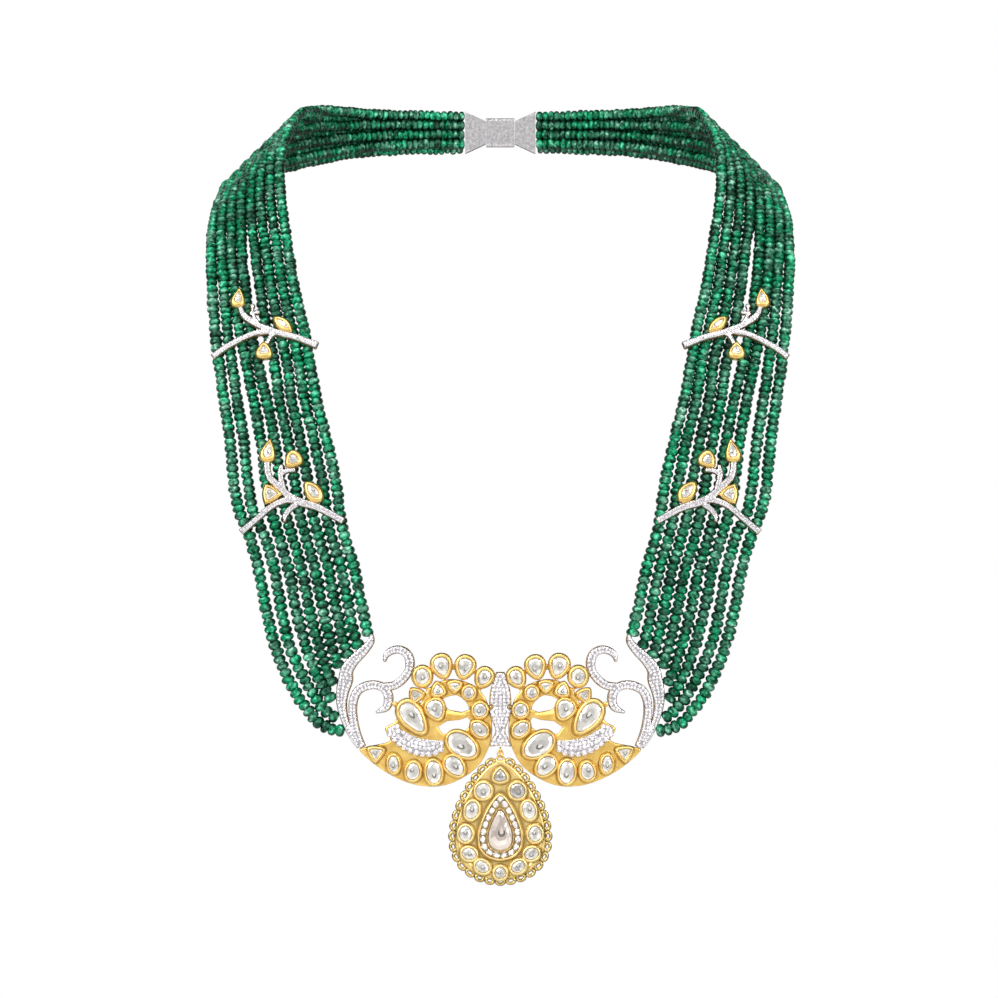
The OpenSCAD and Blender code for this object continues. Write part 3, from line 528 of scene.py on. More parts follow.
def settle(piece, body, slot, *nodes):
    """Puts a piece on its body and hides the solids that it stands for; slot is not used."""
    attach(piece, body)
    if nodes:
        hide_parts(*nodes)
    return piece


def add_piece(name, mesh, where, material, node_name, slot=None):
    """A piece that stands for a node, from a mesh given across, up and out of a place."""
    points, faces, tones = mesh
    piece = add_mesh(name, to_frame(where, points), faces, material, tones, where["mirror"],
                     material not in FACETED)
    body = "drop" if node_name.startswith("drop_") else "necklace"
    return settle(piece, body, slot or SLOTS[material], node_name)


def join(parts):
    """Many small meshes as one."""
    points, faces, tones, start = [], [], [], 0
    for p, f, t in parts:
        points.append(p)
        faces += [tuple(i + start for i in face) for face in f]
        tones += list(t)
        start += len(p)
    return np.vstack(points), faces, tones


def untoned(mesh):
    return mesh[0], mesh[1], None


def loft_faces(rings, count, loop=False):
    """Faces between rings of count points each; loop joins the last ring to the first."""
    faces = []
    for k in range(rings if loop else rings - 1):
        low, high = k * count, (k + 1) % rings * count
        for i in range(count):
            j = (i + 1) % count
            faces.append([low + i, low + j, high + j, high + i])
    return faces


# Reliefs: a face of changing height over a flat area, cut from a fine grid
def relief(box, cell, area, height, back_at=0.0, shade=None):
    """A closed relief: area is a signed distance, height the front, and shade may give its tones."""
    xs = np.arange(box[0], box[2] + cell, cell)
    zs = np.arange(box[1], box[3] + cell, cell)
    x, z = np.meshgrid(xs, zs, indexing="ij")
    d = area(x, z)
    d = np.where(np.abs(d) < LEAST_DEPTH, -LEAST_DEPTH, d)
    kept = d < 0
    index = np.full(d.shape, -1)
    index[kept] = np.arange(kept.sum())
    cuts, crossing = outline_cuts(d, xs, zs, cell, int(kept.sum()))
    flat = np.vstack([np.column_stack([x[kept], z[kept]])] + cuts)
    total = len(flat)
    front = np.column_stack([flat, height(flat[:, 0], flat[:, 1], area(flat[:, 0], flat[:, 1]))])
    points = np.vstack([front, np.column_stack([flat, np.full(total, back_at)])])
    corners = [index[:-1, :-1], index[1:, :-1], index[1:, 1:], index[:-1, 1:]]
    count = sum((c >= 0).astype(int) for c in corners)
    full = count == 4
    faces = np.stack([c[full] for c in corners], axis=1).tolist()
    faces += back_runs(*np.nonzero(full), index, total)
    for i, j in np.argwhere((count > 0) & (count < 4)).tolist():
        faces += edge_cell(i, j, index, crossing, total)
    return points, faces, shade_of(points, faces, shade) if shade else None


def outline_cuts(d, xs, zs, cell, total):
    """Spots where the outline crosses the grid's lines, and the number of each, from total on."""
    spots, crossing = [], {}
    for axis, (a, b) in enumerate([(d[:-1], d[1:]), (d[:, :-1], d[:, 1:])]):
        i, j = np.nonzero((a < 0) != (b < 0))
        share = a[i, j] / (a[i, j] - b[i, j]) * cell
        spots.append(np.column_stack([xs[i] + share * (axis == 0), zs[j] + share * (axis == 1)]))
        for p, q in zip(i.tolist(), j.tolist()):
            crossing[(axis, p, q)] = total
            total += 1
    return spots, crossing


def back_runs(rows, cols, index, total):
    """Long flat back faces, one for each run of whole cells."""
    faces = []
    start = 0
    for k in range(1, len(rows) + 1):
        if k < len(rows) and rows[k] == rows[k - 1] and cols[k] == cols[k - 1] + 1:
            continue
        i, low, high = rows[start], cols[start], cols[k - 1] + 1
        run = [index[i, low], index[i, high], index[i + 1, high], index[i + 1, low]]
        faces.append([int(p) + total for p in run])
        start = k
    return faces


def edge_cell(i, j, index, crossing, total):
    """Front, back and wall faces of one cell that the outline crosses."""
    corners = [(i, j), (i + 1, j), (i + 1, j + 1), (i, j + 1)]
    edges = [(0, i, j), (1, i + 1, j), (0, i, j + 1), (1, i, j)]
    loop, cuts = [], []
    for k in range(4):
        here = index[corners[k]] >= 0
        there = index[corners[(k + 1) % 4]] >= 0
        if here:
            loop.append(int(index[corners[k]]))
        if here != there:
            cut = crossing[edges[k]]
            loop.append(cut)
            cuts.append((cut, here))
    faces = [loop, [p + total for p in reversed(loop)]]
    for k, (cut, leaves) in enumerate(cuts):
        if leaves:
            other = cuts[(k + 1) % len(cuts)][0]
            faces.append([other, cut, cut + total, other + total])
    return faces


def shade_of(points, faces, shade):
    """A tone for each face, from its first point; the flat back gets no painted shade."""
    at = points[[f[0] for f in faces]]
    return np.where(at[:, 2] > 0, shade(at[:, 0], at[:, 1]), 1.0)


def crease_shade(x, z, rows, walls, reach=0.42):
    """Painted shade: dark next to a bezel's foot, light away from it."""
    return np.clip(np.minimum.reduce(bezel_rims(x, z, rows, walls)) / reach, 0, 1)


def rounded(d, thickness, radius):
    """Height of a plate with a rounded front edge, at signed distance d from its outline."""
    reach = np.clip((radius + d) / radius, 0, 1)
    return thickness - radius * (1 - np.sqrt(1 - reach ** 2))


def plain_front(thickness, radius):
    """The front of a flat plate with a rounded edge, for a relief."""
    return lambda x, z, d: rounded(d, thickness, radius)


def two_layers(box, area, top_area, thickness, share, edge_round, top_round, cell):
    """A gold edge, and the white top that stands out of it."""
    edge = relief(box, cell, area, plain_front(share * thickness, edge_round))
    top = relief(box, cell, top_area, plain_front(thickness - TOP_DROP, top_round), TOP_BACK)
    return edge, top


# Bezels: the rounded section above the plate, as shares of the wall and of the height
BEZEL_SECTION = [(1.0, 0.0), (0.97, 0.24), (0.88, 0.48), (0.74, 0.70), (0.57, 0.86), (0.40, 0.96),
                 (0.24, 1.0), (0.11, 0.96), (0.0, 0.82), (-0.06, 0.55)]
# How far a bezel covers the plate's own edge
BEZEL_COVER = 0.07


def bezel(inner, outer, plate, height):
    """A rounded wall from the back to a height above the plate, between two loops of equal count."""
    rings = [(1.0, 0.0)] + [(share, plate + height * rise) for share, rise in BEZEL_SECTION]
    points = [np.column_stack([inner + (outer - inner) * share, np.full(len(inner), level)])
              for share, level in rings]
    faces = loft_faces(len(rings), len(inner))
    return np.vstack(points), faces, [1.0] * len(faces)


def stone_bezel(row, wall, plate):
    loop = outline(row, OUTLINE_POINTS)
    return bezel(loop, loop + outward_of(loop) * (wall + BEZEL_COVER), plate, BEZEL_H)


# Uncut stones, from the back to the middle: reach, height, whether its facets cut it, share of its shift
POLKI_RINGS = [
    (1.00, 0.00, False, 0),
    (1.00, 0.42, False, 0),
    (0.92, 0.62, False, 0),
    (0.76, 0.88, True, 0),
    (0.50, 1.00, True, 0.5),
    (0.29, 0.98, False, 1),
    (0.15, 0.94, False, 1),
]
# How far the middle lies off the centre at most, and how light the stones and their facets are; the dark
# wall and foot are painted shade where a stone meets its bezel
POLKI_SHIFT = 0.1
STONE_TONES = (-0.10, 0.05)
FACET_TONES = (0.52, 1.0)
INNER_TONES = (0.36, 0.86)
WALL_TONE = 0.1
FOOT_TONE = 0.34
MIDDLE_TONE = 0.5
MARK_TONE = 0.05
MARK_LINE = 0.2
TABLE_TONE = 0.82
# Seeds of the stones: a step from stone to stone, and a share of its place; and the most that one is turned
STONE_SEED = 7
PLACE_SEED = 10
MOST_TURN = 6.28


def polki(rows, base, height, facets=7, points=STONE_POINTS, lights=None):
    """Uncut stones lying at a height: a broad crown of large facets, and a small facet in the middle.
    lights may give how light each stone is."""
    step = 2 * math.pi / facets
    parts = []
    for n, row in enumerate(rows):
        chance = random.Random(n * STONE_SEED + int(abs(row[0]) * PLACE_SEED))
        centre = np.array(row[:2])
        shape = outline(row, points) - centre
        turn = chance.uniform(0, MOST_TURN)
        a = np.arctan2(shape[:, 1], shape[:, 0]) + turn
        chord = (math.cos(step / 2) / np.cos(a % step - step / 2))[:, None]
        middle = np.array([chance.uniform(-POLKI_SHIFT, POLKI_SHIFT) * size for size in row[2:4]])
        rings = [np.column_stack([shape * reach * (chord if cut else 1) + middle * shift + centre,
                                  np.full(points, base + rise * height)])
                 for reach, rise, cut, shift in POLKI_RINGS]
        faces = loft_faces(len(rings), points)
        faces.append([(len(rings) - 1) * points + i for i in range(points)])
        light = lights[n] if lights else 1 + chance.uniform(*STONE_TONES)
        tones = polki_tones(a, turn, step, facets, chance)
        parts.append((np.vstack(rings), faces, [t * light for t in tones]))
    return join(parts)


def polki_tones(a, turn, step, facets, chance):
    """A tone for each face of an uncut stone with points at the angles a; its wall and foot get painted
    shade.
    """
    facet = [chance.uniform(*FACET_TONES) for _ in range(facets)]
    inner = [chance.uniform(*INNER_TONES) for _ in range(facets)]
    which = [int((v % (2 * math.pi)) / step) % facets for v in a]
    tones = [WALL_TONE] * len(a) + [FOOT_TONE] * len(a)
    tones += [facet[k] for k in which] + [inner[k] for k in which] + [MIDDLE_TONE] * len(a)
    tones += [MARK_TONE if math.sin(v - turn) < MARK_LINE else MIDDLE_TONE for v in a]
    return tones + [TABLE_TONE]


# Small diamonds, as shares of their size: the depth of the wall, the height of the crown, the table's width
DIAMOND_WALL = 0.25
DIAMOND_CROWN = 0.17
DIAMOND_TABLE = 0.58
# The small diamonds' walls are darker: painted shade between the stones
DIAMOND_WALL_TONE = 0.3


def brilliant(spots, sides=8, table=(0.45, 1.0)):
    """Small faceted diamonds: each spot is across, up, out and diameter, and may give a stretch and its turn;
    table is how light their tables are."""
    step = 2 * math.pi / sides
    parts = []
    chance = random.Random(len(spots))
    for x, y, out, size, *shape in spots:
        stretch, turn = shape or (1, chance.uniform(0, step))
        ring = [oval_point(i * step, stretch, turn) for i in range(sides)]
        top = [oval_point((i + 0.5) * step, stretch, turn) for i in range(sides)]
        r = size / 2
        p = [(x + r * c, y + r * s, out - DIAMOND_WALL * size) for c, s in ring]
        p += [(x + r * c, y + r * s, out) for c, s in ring]
        p += [(x + DIAMOND_TABLE * r * c, y + DIAMOND_TABLE * r * s, out + DIAMOND_CROWN * size)
              for c, s in top]
        f, t = [], []
        for i in range(sides):
            j = (i + 1) % sides
            f.append([i, j, sides + j, sides + i])
            f.append([sides + i, sides + j, 2 * sides + i])
            f.append([sides + j, 2 * sides + j, 2 * sides + i])
            t += [DIAMOND_WALL_TONE, chance.random(), chance.random()]
        f.append([2 * sides + i for i in range(sides)])
        t.append(chance.uniform(*table))
        parts.append((np.array(p), f, t))
    return join(parts)


def oval_point(a, stretch, turn):
    """A point at an angle of an oval that is stretched along its turned axis."""
    x, y = stretch * math.cos(a), math.sin(a)
    return x * math.cos(turn) - y * math.sin(turn), x * math.sin(turn) + y * math.cos(turn)


# Pave rows, as shares of a stone: the first place, the last one, how full a row may be, a stone's width
# in it, and how close two stones may lie
ROW_START = 0.6
ROW_END = 0.4
ROW_FILL = 1.02
ROW_STONE = 0.94
LEAST_APART = 0.80
# A step along a bar, in millimetres, that gives its direction
NUDGE = 0.05


def rows_along(rows, size, lift, taken, rim):
    """Spots for pave stones in rows along a bar of changing width."""
    path = spline(rows, PAVE_STEPS)
    table = running_length(path[:, :2])
    s = size * ROW_START
    spots = []
    while s < table[-1] - size * ROW_END:
        x, y, width = at_length(path, table, s)
        ahead = at_length(path, table, min(s + NUDGE, table[-1])) - at_length(path, table, max(s - NUDGE, 0))
        normal = np.array([-ahead[1], ahead[0]]) / np.hypot(ahead[0], ahead[1])
        free = width - 2 * rim
        count = max(1, int(round(free / size)))
        d = min(size, free / count * ROW_FILL)
        for k in range(count):
            shift = (k - (count - 1) / 2) * free / count
            add_spot(spots, taken, x + normal[0] * shift, y + normal[1] * shift, lift, d * ROW_STONE)
        s += d
    return spots


def kept_spots(spots, area, margin):
    """The stones that lie inside an area, a margin away from its edge."""
    d = area(np.array([s[0] for s in spots]), np.array([s[1] for s in spots]))
    return [s for s, far in zip(spots, d) if far < -margin]


def add_spot(spots, taken, x, y, lift, d):
    """Adds a stone, a little out of line, unless it would lie on one that is already there."""
    chance = random.Random(len(taken))
    if all((x - p) ** 2 + (y - q) ** 2 > (LEAST_APART * d) ** 2 for p, q in taken):
        taken.append((x, y))
        across, up, larger = [chance.uniform(-PAVE_JITTER, PAVE_JITTER) for _ in range(3)]
        spots.append((x + across * d, y + up * d, lift, d * (1 + larger)))


# Swept rings, such as loops and bails
def swept_ring(path, radius, sides=10):
    """A closed wire on a closed path of points across, up and out; painted shade darkens its sides, not its
    front.
    """
    ahead = loop_ahead(path)
    side = path - path.mean(axis=0)
    side = unit_rows(side - (side * ahead).sum(axis=1)[:, None] * ahead)
    other = np.cross(ahead, side)
    angles = [2 * math.pi * i / sides for i in range(sides)]
    points = [path[k] + (side[k] * math.cos(a) + other[k] * math.sin(a)) * radius
              for k in range(len(path)) for a in angles]
    tones = [abs(math.sin(a + math.pi / sides)) ** 3 for a in angles] * len(path)
    return np.array(points), loft_faces(len(path), sides, True), tones


# Materials
BLACK = (0, 0, 0)
WHITE = (1, 1, 1)
# Colours of the green beads from dark to light, where they are clear and where they are milky; the dark end
# shows the painted shade of the tones and the pale end paints highlights, and the milky patches partly paint
# soft highlights
CLEAR_GREENS = [
    (0.0, (0.0001, 0.007, 0.003)),
    (0.25, (0.0004, 0.040, 0.016)),
    (0.45, (0.001, 0.100, 0.040)),
    (0.65, (0.003, 0.185, 0.080)),
    (0.85, (0.020, 0.330, 0.165)),
    (1.0, (0.120, 0.520, 0.320)),
]
MILKY_GREENS = [
    (0.0, (0.0004, 0.007, 0.004)),
    (0.25, (0.004, 0.036, 0.019)),
    (0.45, (0.013, 0.085, 0.046)),
    (0.65, (0.042, 0.160, 0.098)),
    (0.85, (0.110, 0.290, 0.195)),
    (1.0, (0.280, 0.500, 0.380)),
]
# The tint of the shade painted on gold in a crease, and how far its roughness goes below and above its
# middle value
CREASE_SHADE_TINT = (1, 0.85, 0.6)
GOLD_SMOOTHER = 0.06
GOLD_ROUGHER = 0.10
WHITE_GOLD_TINTS = [(0.3, (0.50, 0.48, 0.49)), (0.7, (0.82, 0.80, 0.82))]
PAVE_TINTS = [
    (0.0, (0.15, 0.12, 0.13)),
    (0.25, (0.42, 0.39, 0.42)),
    (0.6, (0.76, 0.73, 0.76)),
    (1.0, (0.98, 0.96, 0.97)),
]


def new_material(name):
    made = bpy.data.materials.new(name)
    made.use_nodes = True
    return made


def set_inputs(owner, made, inputs):
    """Sets a node's inputs: a socket is linked, anything else is a value."""
    for key, value in inputs.items():
        if isinstance(value, bpy.types.NodeSocket):
            owner.node_tree.links.new(value, made.inputs[key])
        else:
            made.inputs[key].default_value = value


def shaded(mat, inputs):
    """The material, with its shader's inputs set."""
    set_inputs(mat, mat.node_tree.nodes["Principled BSDF"], inputs)
    return mat


def node(owner, kind, inputs=None, **values):
    """A new node of a material or of the world."""
    made = owner.node_tree.nodes.new(kind)
    for key, value in values.items():
        setattr(made, key, value)
    set_inputs(owner, made, inputs or {})
    return made


def noise(mat, scale, detail=3.0, stretch=(1, 1, 1)):
    """Noise in the object's own space; scale is in features a metre."""
    where = node(mat, "ShaderNodeTexCoord").outputs["Object"]
    spot = node(mat, "ShaderNodeMapping", {"Vector": where, "Scale": stretch}).outputs["Vector"]
    return node(mat, "ShaderNodeTexNoise", {"Vector": spot, "Scale": scale, "Detail": detail}).outputs["Fac"]


def ramp(owner, value, stops):
    """Colours at shares of a value."""
    made = node(owner, "ShaderNodeValToRGB", {"Fac": value})
    band = made.color_ramp
    while len(band.elements) < len(stops):
        band.elements.new(0.5)
    for element, (at, colour) in zip(band.elements, stops):
        element.position = at
        element.color = (*colour, 1)
    return made.outputs["Color"]


def spread(mat, value, low, high):
    """A value between two limits from a share."""
    return node(mat, "ShaderNodeMapRange", {"Value": value, "To Min": low, "To Max": high}).outputs["Result"]


def mixed(owner, share, first, second, how="MIX"):
    """Two colours mixed by a share."""
    inputs = {"Factor": share, 6: first, 7: second}
    return node(owner, "ShaderNodeMix", inputs, data_type="RGBA", blend_type=how).outputs[2]


def tone(mat):
    """The number that a face or a point carries."""
    return node(mat, "ShaderNodeAttribute", attribute_name="tone", attribute_type="GEOMETRY").outputs["Fac"]


def combined(mat, first, second, share):
    """first + (second - 0.5) * share."""
    offset = node(mat, "ShaderNodeMath", {0: first, 1: share / 2}, operation="SUBTRACT").outputs[0]
    return node(mat, "ShaderNodeMath", {0: second, 1: share, 2: offset}, operation="MULTIPLY_ADD").outputs[0]


def bump(mat, value, strength, depth):
    return node(mat, "ShaderNodeBump", {"Height": value, "Strength": strength, "Distance": depth}).outputs[0]


def emerald_material():
    mat = new_material("emerald")
    value = combined(mat, tone(mat), noise(mat, 1100), 0.9)
    clouds = ramp(mat, noise(mat, 170, 1), [(0.42, BLACK), (0.58, WHITE)])
    return shaded(mat, {
        "Base Color": mixed(mat, clouds, ramp(mat, value, CLEAR_GREENS), ramp(mat, value, MILKY_GREENS)),
        "Roughness": spread(mat, noise(mat, 900, 2), 0.18, 0.36),
        "IOR": 1.5,
        "Specular IOR Level": 0.15,
    })


def gold_material(name, deep, bright, rough, streak=(1, 1, 1), crease=0.36, grain_bump=0.18):
    """Satin gold; where a face's tone is low, shade is painted on it, down to the share named crease."""
    mat = new_material(name)
    colour = ramp(mat, noise(mat, 260), [(0.3, deep), (0.7, bright)])
    shade = ramp(mat, tone(mat), [(0.0, tuple(crease * share for share in CREASE_SHADE_TINT)), (1.0, WHITE)])
    grain = noise(mat, 1400, 3, streak)
    return shaded(mat, {
        "Base Color": mixed(mat, 1, colour, shade, "MULTIPLY"),
        "Metallic": 1.0,
        "Roughness": spread(mat, grain, rough - GOLD_SMOOTHER, rough + GOLD_ROUGHER),
        "Normal": bump(mat, grain, grain_bump, 0.00005),
    })


def white_gold_material():
    mat = new_material("white_gold")
    return shaded(mat, {
        "Base Color": ramp(mat, noise(mat, 900), WHITE_GOLD_TINTS),
        "Metallic": 1.0,
        "Roughness": spread(mat, noise(mat, 1500, 2), 0.18, 0.34),
        "Normal": bump(mat, noise(mat, 1800, 2), 0.3, 0.00008),
    })


def pave_material():
    mat = new_material("pave_diamond")
    return shaded(mat, {
        "Base Color": ramp(mat, tone(mat), PAVE_TINTS),
        "Metallic": 0.35,
        "Roughness": 0.12,
        "IOR": 2.0,
        "Coat Weight": 0.6,
        "Coat Roughness": 0.03,
    })


def polki_material(name, dark, middle, light):
    mat = new_material(name)
    value = combined(mat, tone(mat), noise(mat, 420, 4), 0.45)
    return shaded(mat, {
        "Base Color": ramp(mat, value, [(0.05, dark), (0.5, middle), (0.95, light)]),
        "Metallic": 0.45,
        "Roughness": spread(mat, noise(mat, 300, 2), 0.10, 0.26),
        "IOR": 1.8,
        "Coat Weight": 0.6,
        "Coat Roughness": 0.04,
        "Normal": bump(mat, noise(mat, 380, 2), 0.15, 0.0001),
    })


EMERALD = emerald_material()
YELLOW_GOLD = gold_material("yellow_gold", (0.66, 0.40, 0.09), (0.88, 0.61, 0.19), 0.36)
# The bezels and leaf cups: dimmer copies of yellow gold, a painted shade on them
BEZEL_GOLD = gold_material("bezel_gold", (0.66, 0.44, 0.14), (0.77, 0.54, 0.20), 0.38, grain_bump=0.04)
LEAF_GOLD = gold_material("leaf_gold", (0.60, 0.40, 0.12), (0.74, 0.52, 0.19), 0.36, grain_bump=0.04)
PALE_GOLD = gold_material("pale_gold", (0.68, 0.49, 0.18), (0.82, 0.62, 0.26), 0.36, (6, 1, 1))
PALE_BEZEL_GOLD = gold_material("pale_bezel_gold", (0.70, 0.53, 0.23), (0.80, 0.63, 0.30), 0.38,
                                grain_bump=0.04)
# The drop's loops: a darker copy of pale gold, whose painted shade on the wires' sides goes down deep
WIRE_GOLD = gold_material("wire_gold", (0.58, 0.42, 0.14), (0.74, 0.56, 0.23), 0.26, crease=0.18,
                          grain_bump=0.04)
# The edges of the twigs, scrolls and centre body: a much darker copy of yellow gold, painted shade along them
EDGE_SHADE_GOLD = gold_material("edge_shade_gold", (0.20, 0.125, 0.05), (0.32, 0.21, 0.09), 0.50, grain_bump=0.0)
WHITE_GOLD = white_gold_material()
PAVE = pave_material()
POLKI = polki_material("polki", (0.12, 0.11, 0.10), (0.47, 0.45, 0.42), (0.80, 0.78, 0.74))
WARM_POLKI = polki_material("warm_polki", (0.12, 0.10, 0.09), (0.50, 0.43, 0.38), (0.82, 0.74, 0.68))

# The record's slot of each material, and the materials of flat facets
SLOTS = {
    YELLOW_GOLD: "yellow_gold", BEZEL_GOLD: "yellow_gold", LEAF_GOLD: "yellow_gold", EDGE_SHADE_GOLD: "yellow_gold",
    PALE_GOLD: "pale_gold", PALE_BEZEL_GOLD: "pale_gold", WIRE_GOLD: "pale_gold", WHITE_GOLD: "white_gold",
    PAVE: "small_diamonds", POLKI: "uncut_diamond", WARM_POLKI: "uncut_diamond",
}
FACETED = (PAVE, POLKI, WARM_POLKI)


# Camera, floor and light
PHOTO_PIXELS = 998
CAMERA_SHIFT_PIXELS = -1.3
CAMERA_SENSOR = 36
CAMERA_LENS = 250
CAMERA_REACH = 50
EYE_LEVEL_TURN = (math.radians(90), 0, 0)
CAMERA_DISTANCE = 2.310
FRONT_PLANE_Y = -0.135
CAMERA_HEIGHT = -0.1293
# Lights: name, place, size, power
LIGHT_TARGET = np.array([0, -0.1, -0.13])
LIGHTS = [
    ("key", (-1.1, -1.7, 0.7), (0.6, 0.9), 34),
    ("fill", (1.2, -1.7, 0.4), (0.5, 0.9), 22),
    ("top", (0.0, -0.9, 1.3), (1.2, 0.4), 14),
    ("back_left", (-1.0, 1.5, 0.4), (1.0, 1.4), 10),
    ("back_right", (1.2, 1.4, 0.3), (1.0, 1.4), 8),
]
FLOOR_CORNERS = [(-1500, -1500, -520), (1500, -1500, -520), (1500, 1300, -520), (-1500, 1300, -520)]
FLOOR_TINTS = [(0.3, (0.86, 0.86, 0.86)), (0.7, (0.90, 0.90, 0.90))]
# Brightness of the studio by direction: from in front of the necklace to behind it, and from below to above
STUDIO_BY_DEPTH = [(0.0, 0.80), (0.12, 0.60), (0.3, 0.25), (0.5, 0.05), (0.8, 0.03), (1.0, 0.06)]
STUDIO_BY_HEIGHT = [(0.0, 0.35), (0.4, 0.55), (0.55, 0.85), (0.8, 1.0), (1.0, 0.8)]


def add_camera():
    data = bpy.data.cameras.new("camera")
    data.sensor_width = CAMERA_SENSOR
    data.lens = CAMERA_LENS
    data.shift_x = CAMERA_SHIFT_PIXELS / PHOTO_PIXELS
    data.clip_end = CAMERA_REACH
    camera = bpy.data.objects.new("camera", data)
    camera.location = (0, FRONT_PLANE_Y - CAMERA_DISTANCE, CAMERA_HEIGHT)
    camera.rotation_euler = EYE_LEVEL_TURN
    bpy.context.scene.collection.objects.link(camera)
    bpy.context.scene.camera = camera


def add_light(name, at, size, power):
    """A soft light that the camera doesn't see, aimed at the necklace."""
    data = bpy.data.lights.new(name, "AREA")
    data.shape = "RECTANGLE"
    data.size, data.size_y = size
    data.energy = power
    light = bpy.data.objects.new(name, data)
    light.location = at
    x, y, z = LIGHT_TARGET - np.array(light.location, float)
    light.rotation_euler = (math.atan2(math.hypot(x, y), -z), 0, math.atan2(-x, y))
    light.visible_camera = False
    bpy.context.scene.collection.objects.link(light)


def add_floor():
    mat = new_material("floor")
    shaded(mat, {"Base Color": ramp(mat, noise(mat, 3, 2), FLOOR_TINTS), "Roughness": 0.8})
    add_mesh("floor", FLOOR_CORNERS, [[0, 1, 2, 3]], mat, smooth=False)


def add_world():
    """White behind the necklace; what its metal mirrors is a soft studio with darker sides."""
    world = bpy.data.worlds.new("studio")
    world.use_nodes = True
    world.node_tree.nodes.clear()
    where = node(world, "ShaderNodeTexCoord").outputs["Generated"]
    split = node(world, "ShaderNodeSeparateXYZ", {"Vector": where})
    levels = []
    for axis, stops in (("Y", STUDIO_BY_DEPTH), ("Z", STUDIO_BY_HEIGHT)):
        share = node(world, "ShaderNodeMapRange", {"Value": split.outputs[axis], "From Min": -1})
        levels.append(ramp(world, share.outputs["Result"], [(at, (level,) * 3) for at, level in stops]))
    studio = node(world, "ShaderNodeBackground", {"Color": mixed(world, 1, *levels, "MULTIPLY")})
    white = node(world, "ShaderNodeBackground", {"Color": (1, 1, 1, 1)})
    seen = node(world, "ShaderNodeLightPath").outputs["Is Camera Ray"]
    mix = node(world, "ShaderNodeMixShader", {"Fac": seen, 1: studio.outputs[0], 2: white.outputs[0]})
    node(world, "ShaderNodeOutputWorld", {"Surface": mix.outputs[0]})
    bpy.context.scene.world = world


# Strands of beads
def away_from_neck(point):
    return unit(np.array([point[0], point[1] - NECK_CENTRE_Y, 0]))


def station(row, i):
    """Where strand number i passes a station of the band."""
    start, end = np.array(row[0], float), np.array(row[1], float)
    at = start + (end - start) * row[3][i]
    return at + away_from_neck(at) * row[2] * (1 if i % 2 == 0 else -1)


def strand_path(i):
    rows = [station(row, i) for row in BAND] + [[p[0], END_DEPTH, p[1]] for p in STRAND_ENDS[i]]
    path = spline(rows, ROUTE_STEPS)
    return np.vstack([path, path[-1] + unit(path[-1] - path[-2]) * END_REACH])


def bead_shape():
    """A bead round its string: points as (along, radius, turn), triangles, and each point's painted shade."""
    points = [(along, radius, turn + 0.5 * (k % 2))
              for k, (along, radius) in enumerate(BEAD_SECTION) for turn in range(BEAD_SIDES)]
    # Painted shade: sides turned away from the front are darker, and the end rings are darker too
    sides = [abs(math.sin(2 * math.pi * turn / BEAD_SIDES)) ** SIDE_FALL for _, _, turn in points]
    shades = [BEAD_BANDS[k // BEAD_SIDES] - SIDE_SHADE * side for k, side in enumerate(sides)]
    faces = []
    for k in range(len(BEAD_SECTION) - 1):
        a, b = k * BEAD_SIDES, (k + 1) * BEAD_SIDES
        for i in range(BEAD_SIDES):
            j = (i + 1) % BEAD_SIDES
            if k % 2 == 0:
                faces += [[a + i, b + i, a + j], [a + j, b + i, b + j]]
            else:
                faces += [[a + i, b + i, b + j], [a + i, b + j, a + j]]
    return np.array(points), faces, shades


def vary(chance, most):
    return chance.uniform(-most, most)


def bead_stops(path, table, chance):
    """Where each bead starts along a strand: uneven pitches that fill the strand exactly."""
    stops = [0.0]
    while stops[-1] < table[-1]:
        z = at_length(path, table, stops[-1])[2]
        pitch = np.interp(z, BEAD_HEIGHTS, BEAD_PITCHES) * (1 + vary(chance, SIZE_SPREAD) * 2)
        stops.append(stops[-1] + pitch)
    return np.array(stops) * table[-1] / stops[-1]


def bead_axes(path, table, low, high, chance):
    """The middle of the bead between two stops, its axis, and two directions across it."""
    centre = at_length(path, table, (low + high) / 2)
    ahead = unit(at_length(path, table, high) - at_length(path, table, low))
    outward = away_from_neck(centre) * OUTWARD_SHARE + FRONT
    u = unit(outward - ahead * outward.dot(ahead))
    v = np.cross(ahead, u)
    centre = centre + v * vary(chance, SIDE_SPREAD)
    axis = unit(ahead + (u * vary(chance, TILT_SPREAD) + v * vary(chance, TILT_SPREAD)))
    u = unit(u - axis * u.dot(axis))
    return centre, axis, u, np.cross(axis, u)


def strand_beads(i, seed):
    """All beads of the left strand number i."""
    shape, faces, shades = bead_shape()
    turn = 2 * math.pi * shape[:, 2] / BEAD_SIDES
    path = strand_path(i)
    table = running_length(path)
    chance = random.Random(seed)
    stops = bead_stops(path, table, chance)
    points, all_faces, tones = [], [], []
    for low, high in zip(stops[:-1], stops[1:]):
        centre, axis, u, v = bead_axes(path, table, low, high, chance)
        r = np.interp(centre[2], BEAD_HEIGHTS, BEAD_WIDTHS) / 2 * (1 + vary(chance, SIZE_SPREAD))
        squash = 1 + vary(chance, SQUASH_SPREAD)
        along = shape[:, 0:1] * axis * (high - low) * BEAD_TOUCH
        across = u * np.cos(turn)[:, None] * squash + v * np.sin(turn)[:, None] / squash
        start = len(points) * len(shape)
        points.append(centre + along + across * shape[:, 1:2] * r)
        all_faces += [[a + start for a in f] for f in faces]
        light = STRAND_LIGHT[i] + chance.gauss(0, TONE_SPREAD)
        light += np.interp(centre[2], LIGHT_HEIGHTS, LIGHT_RISE)
        tones += [min(1, max(0, light + shade + chance.gauss(0, POINT_SPREAD))) for shade in shades]
    return np.vstack(points), all_faces, tones


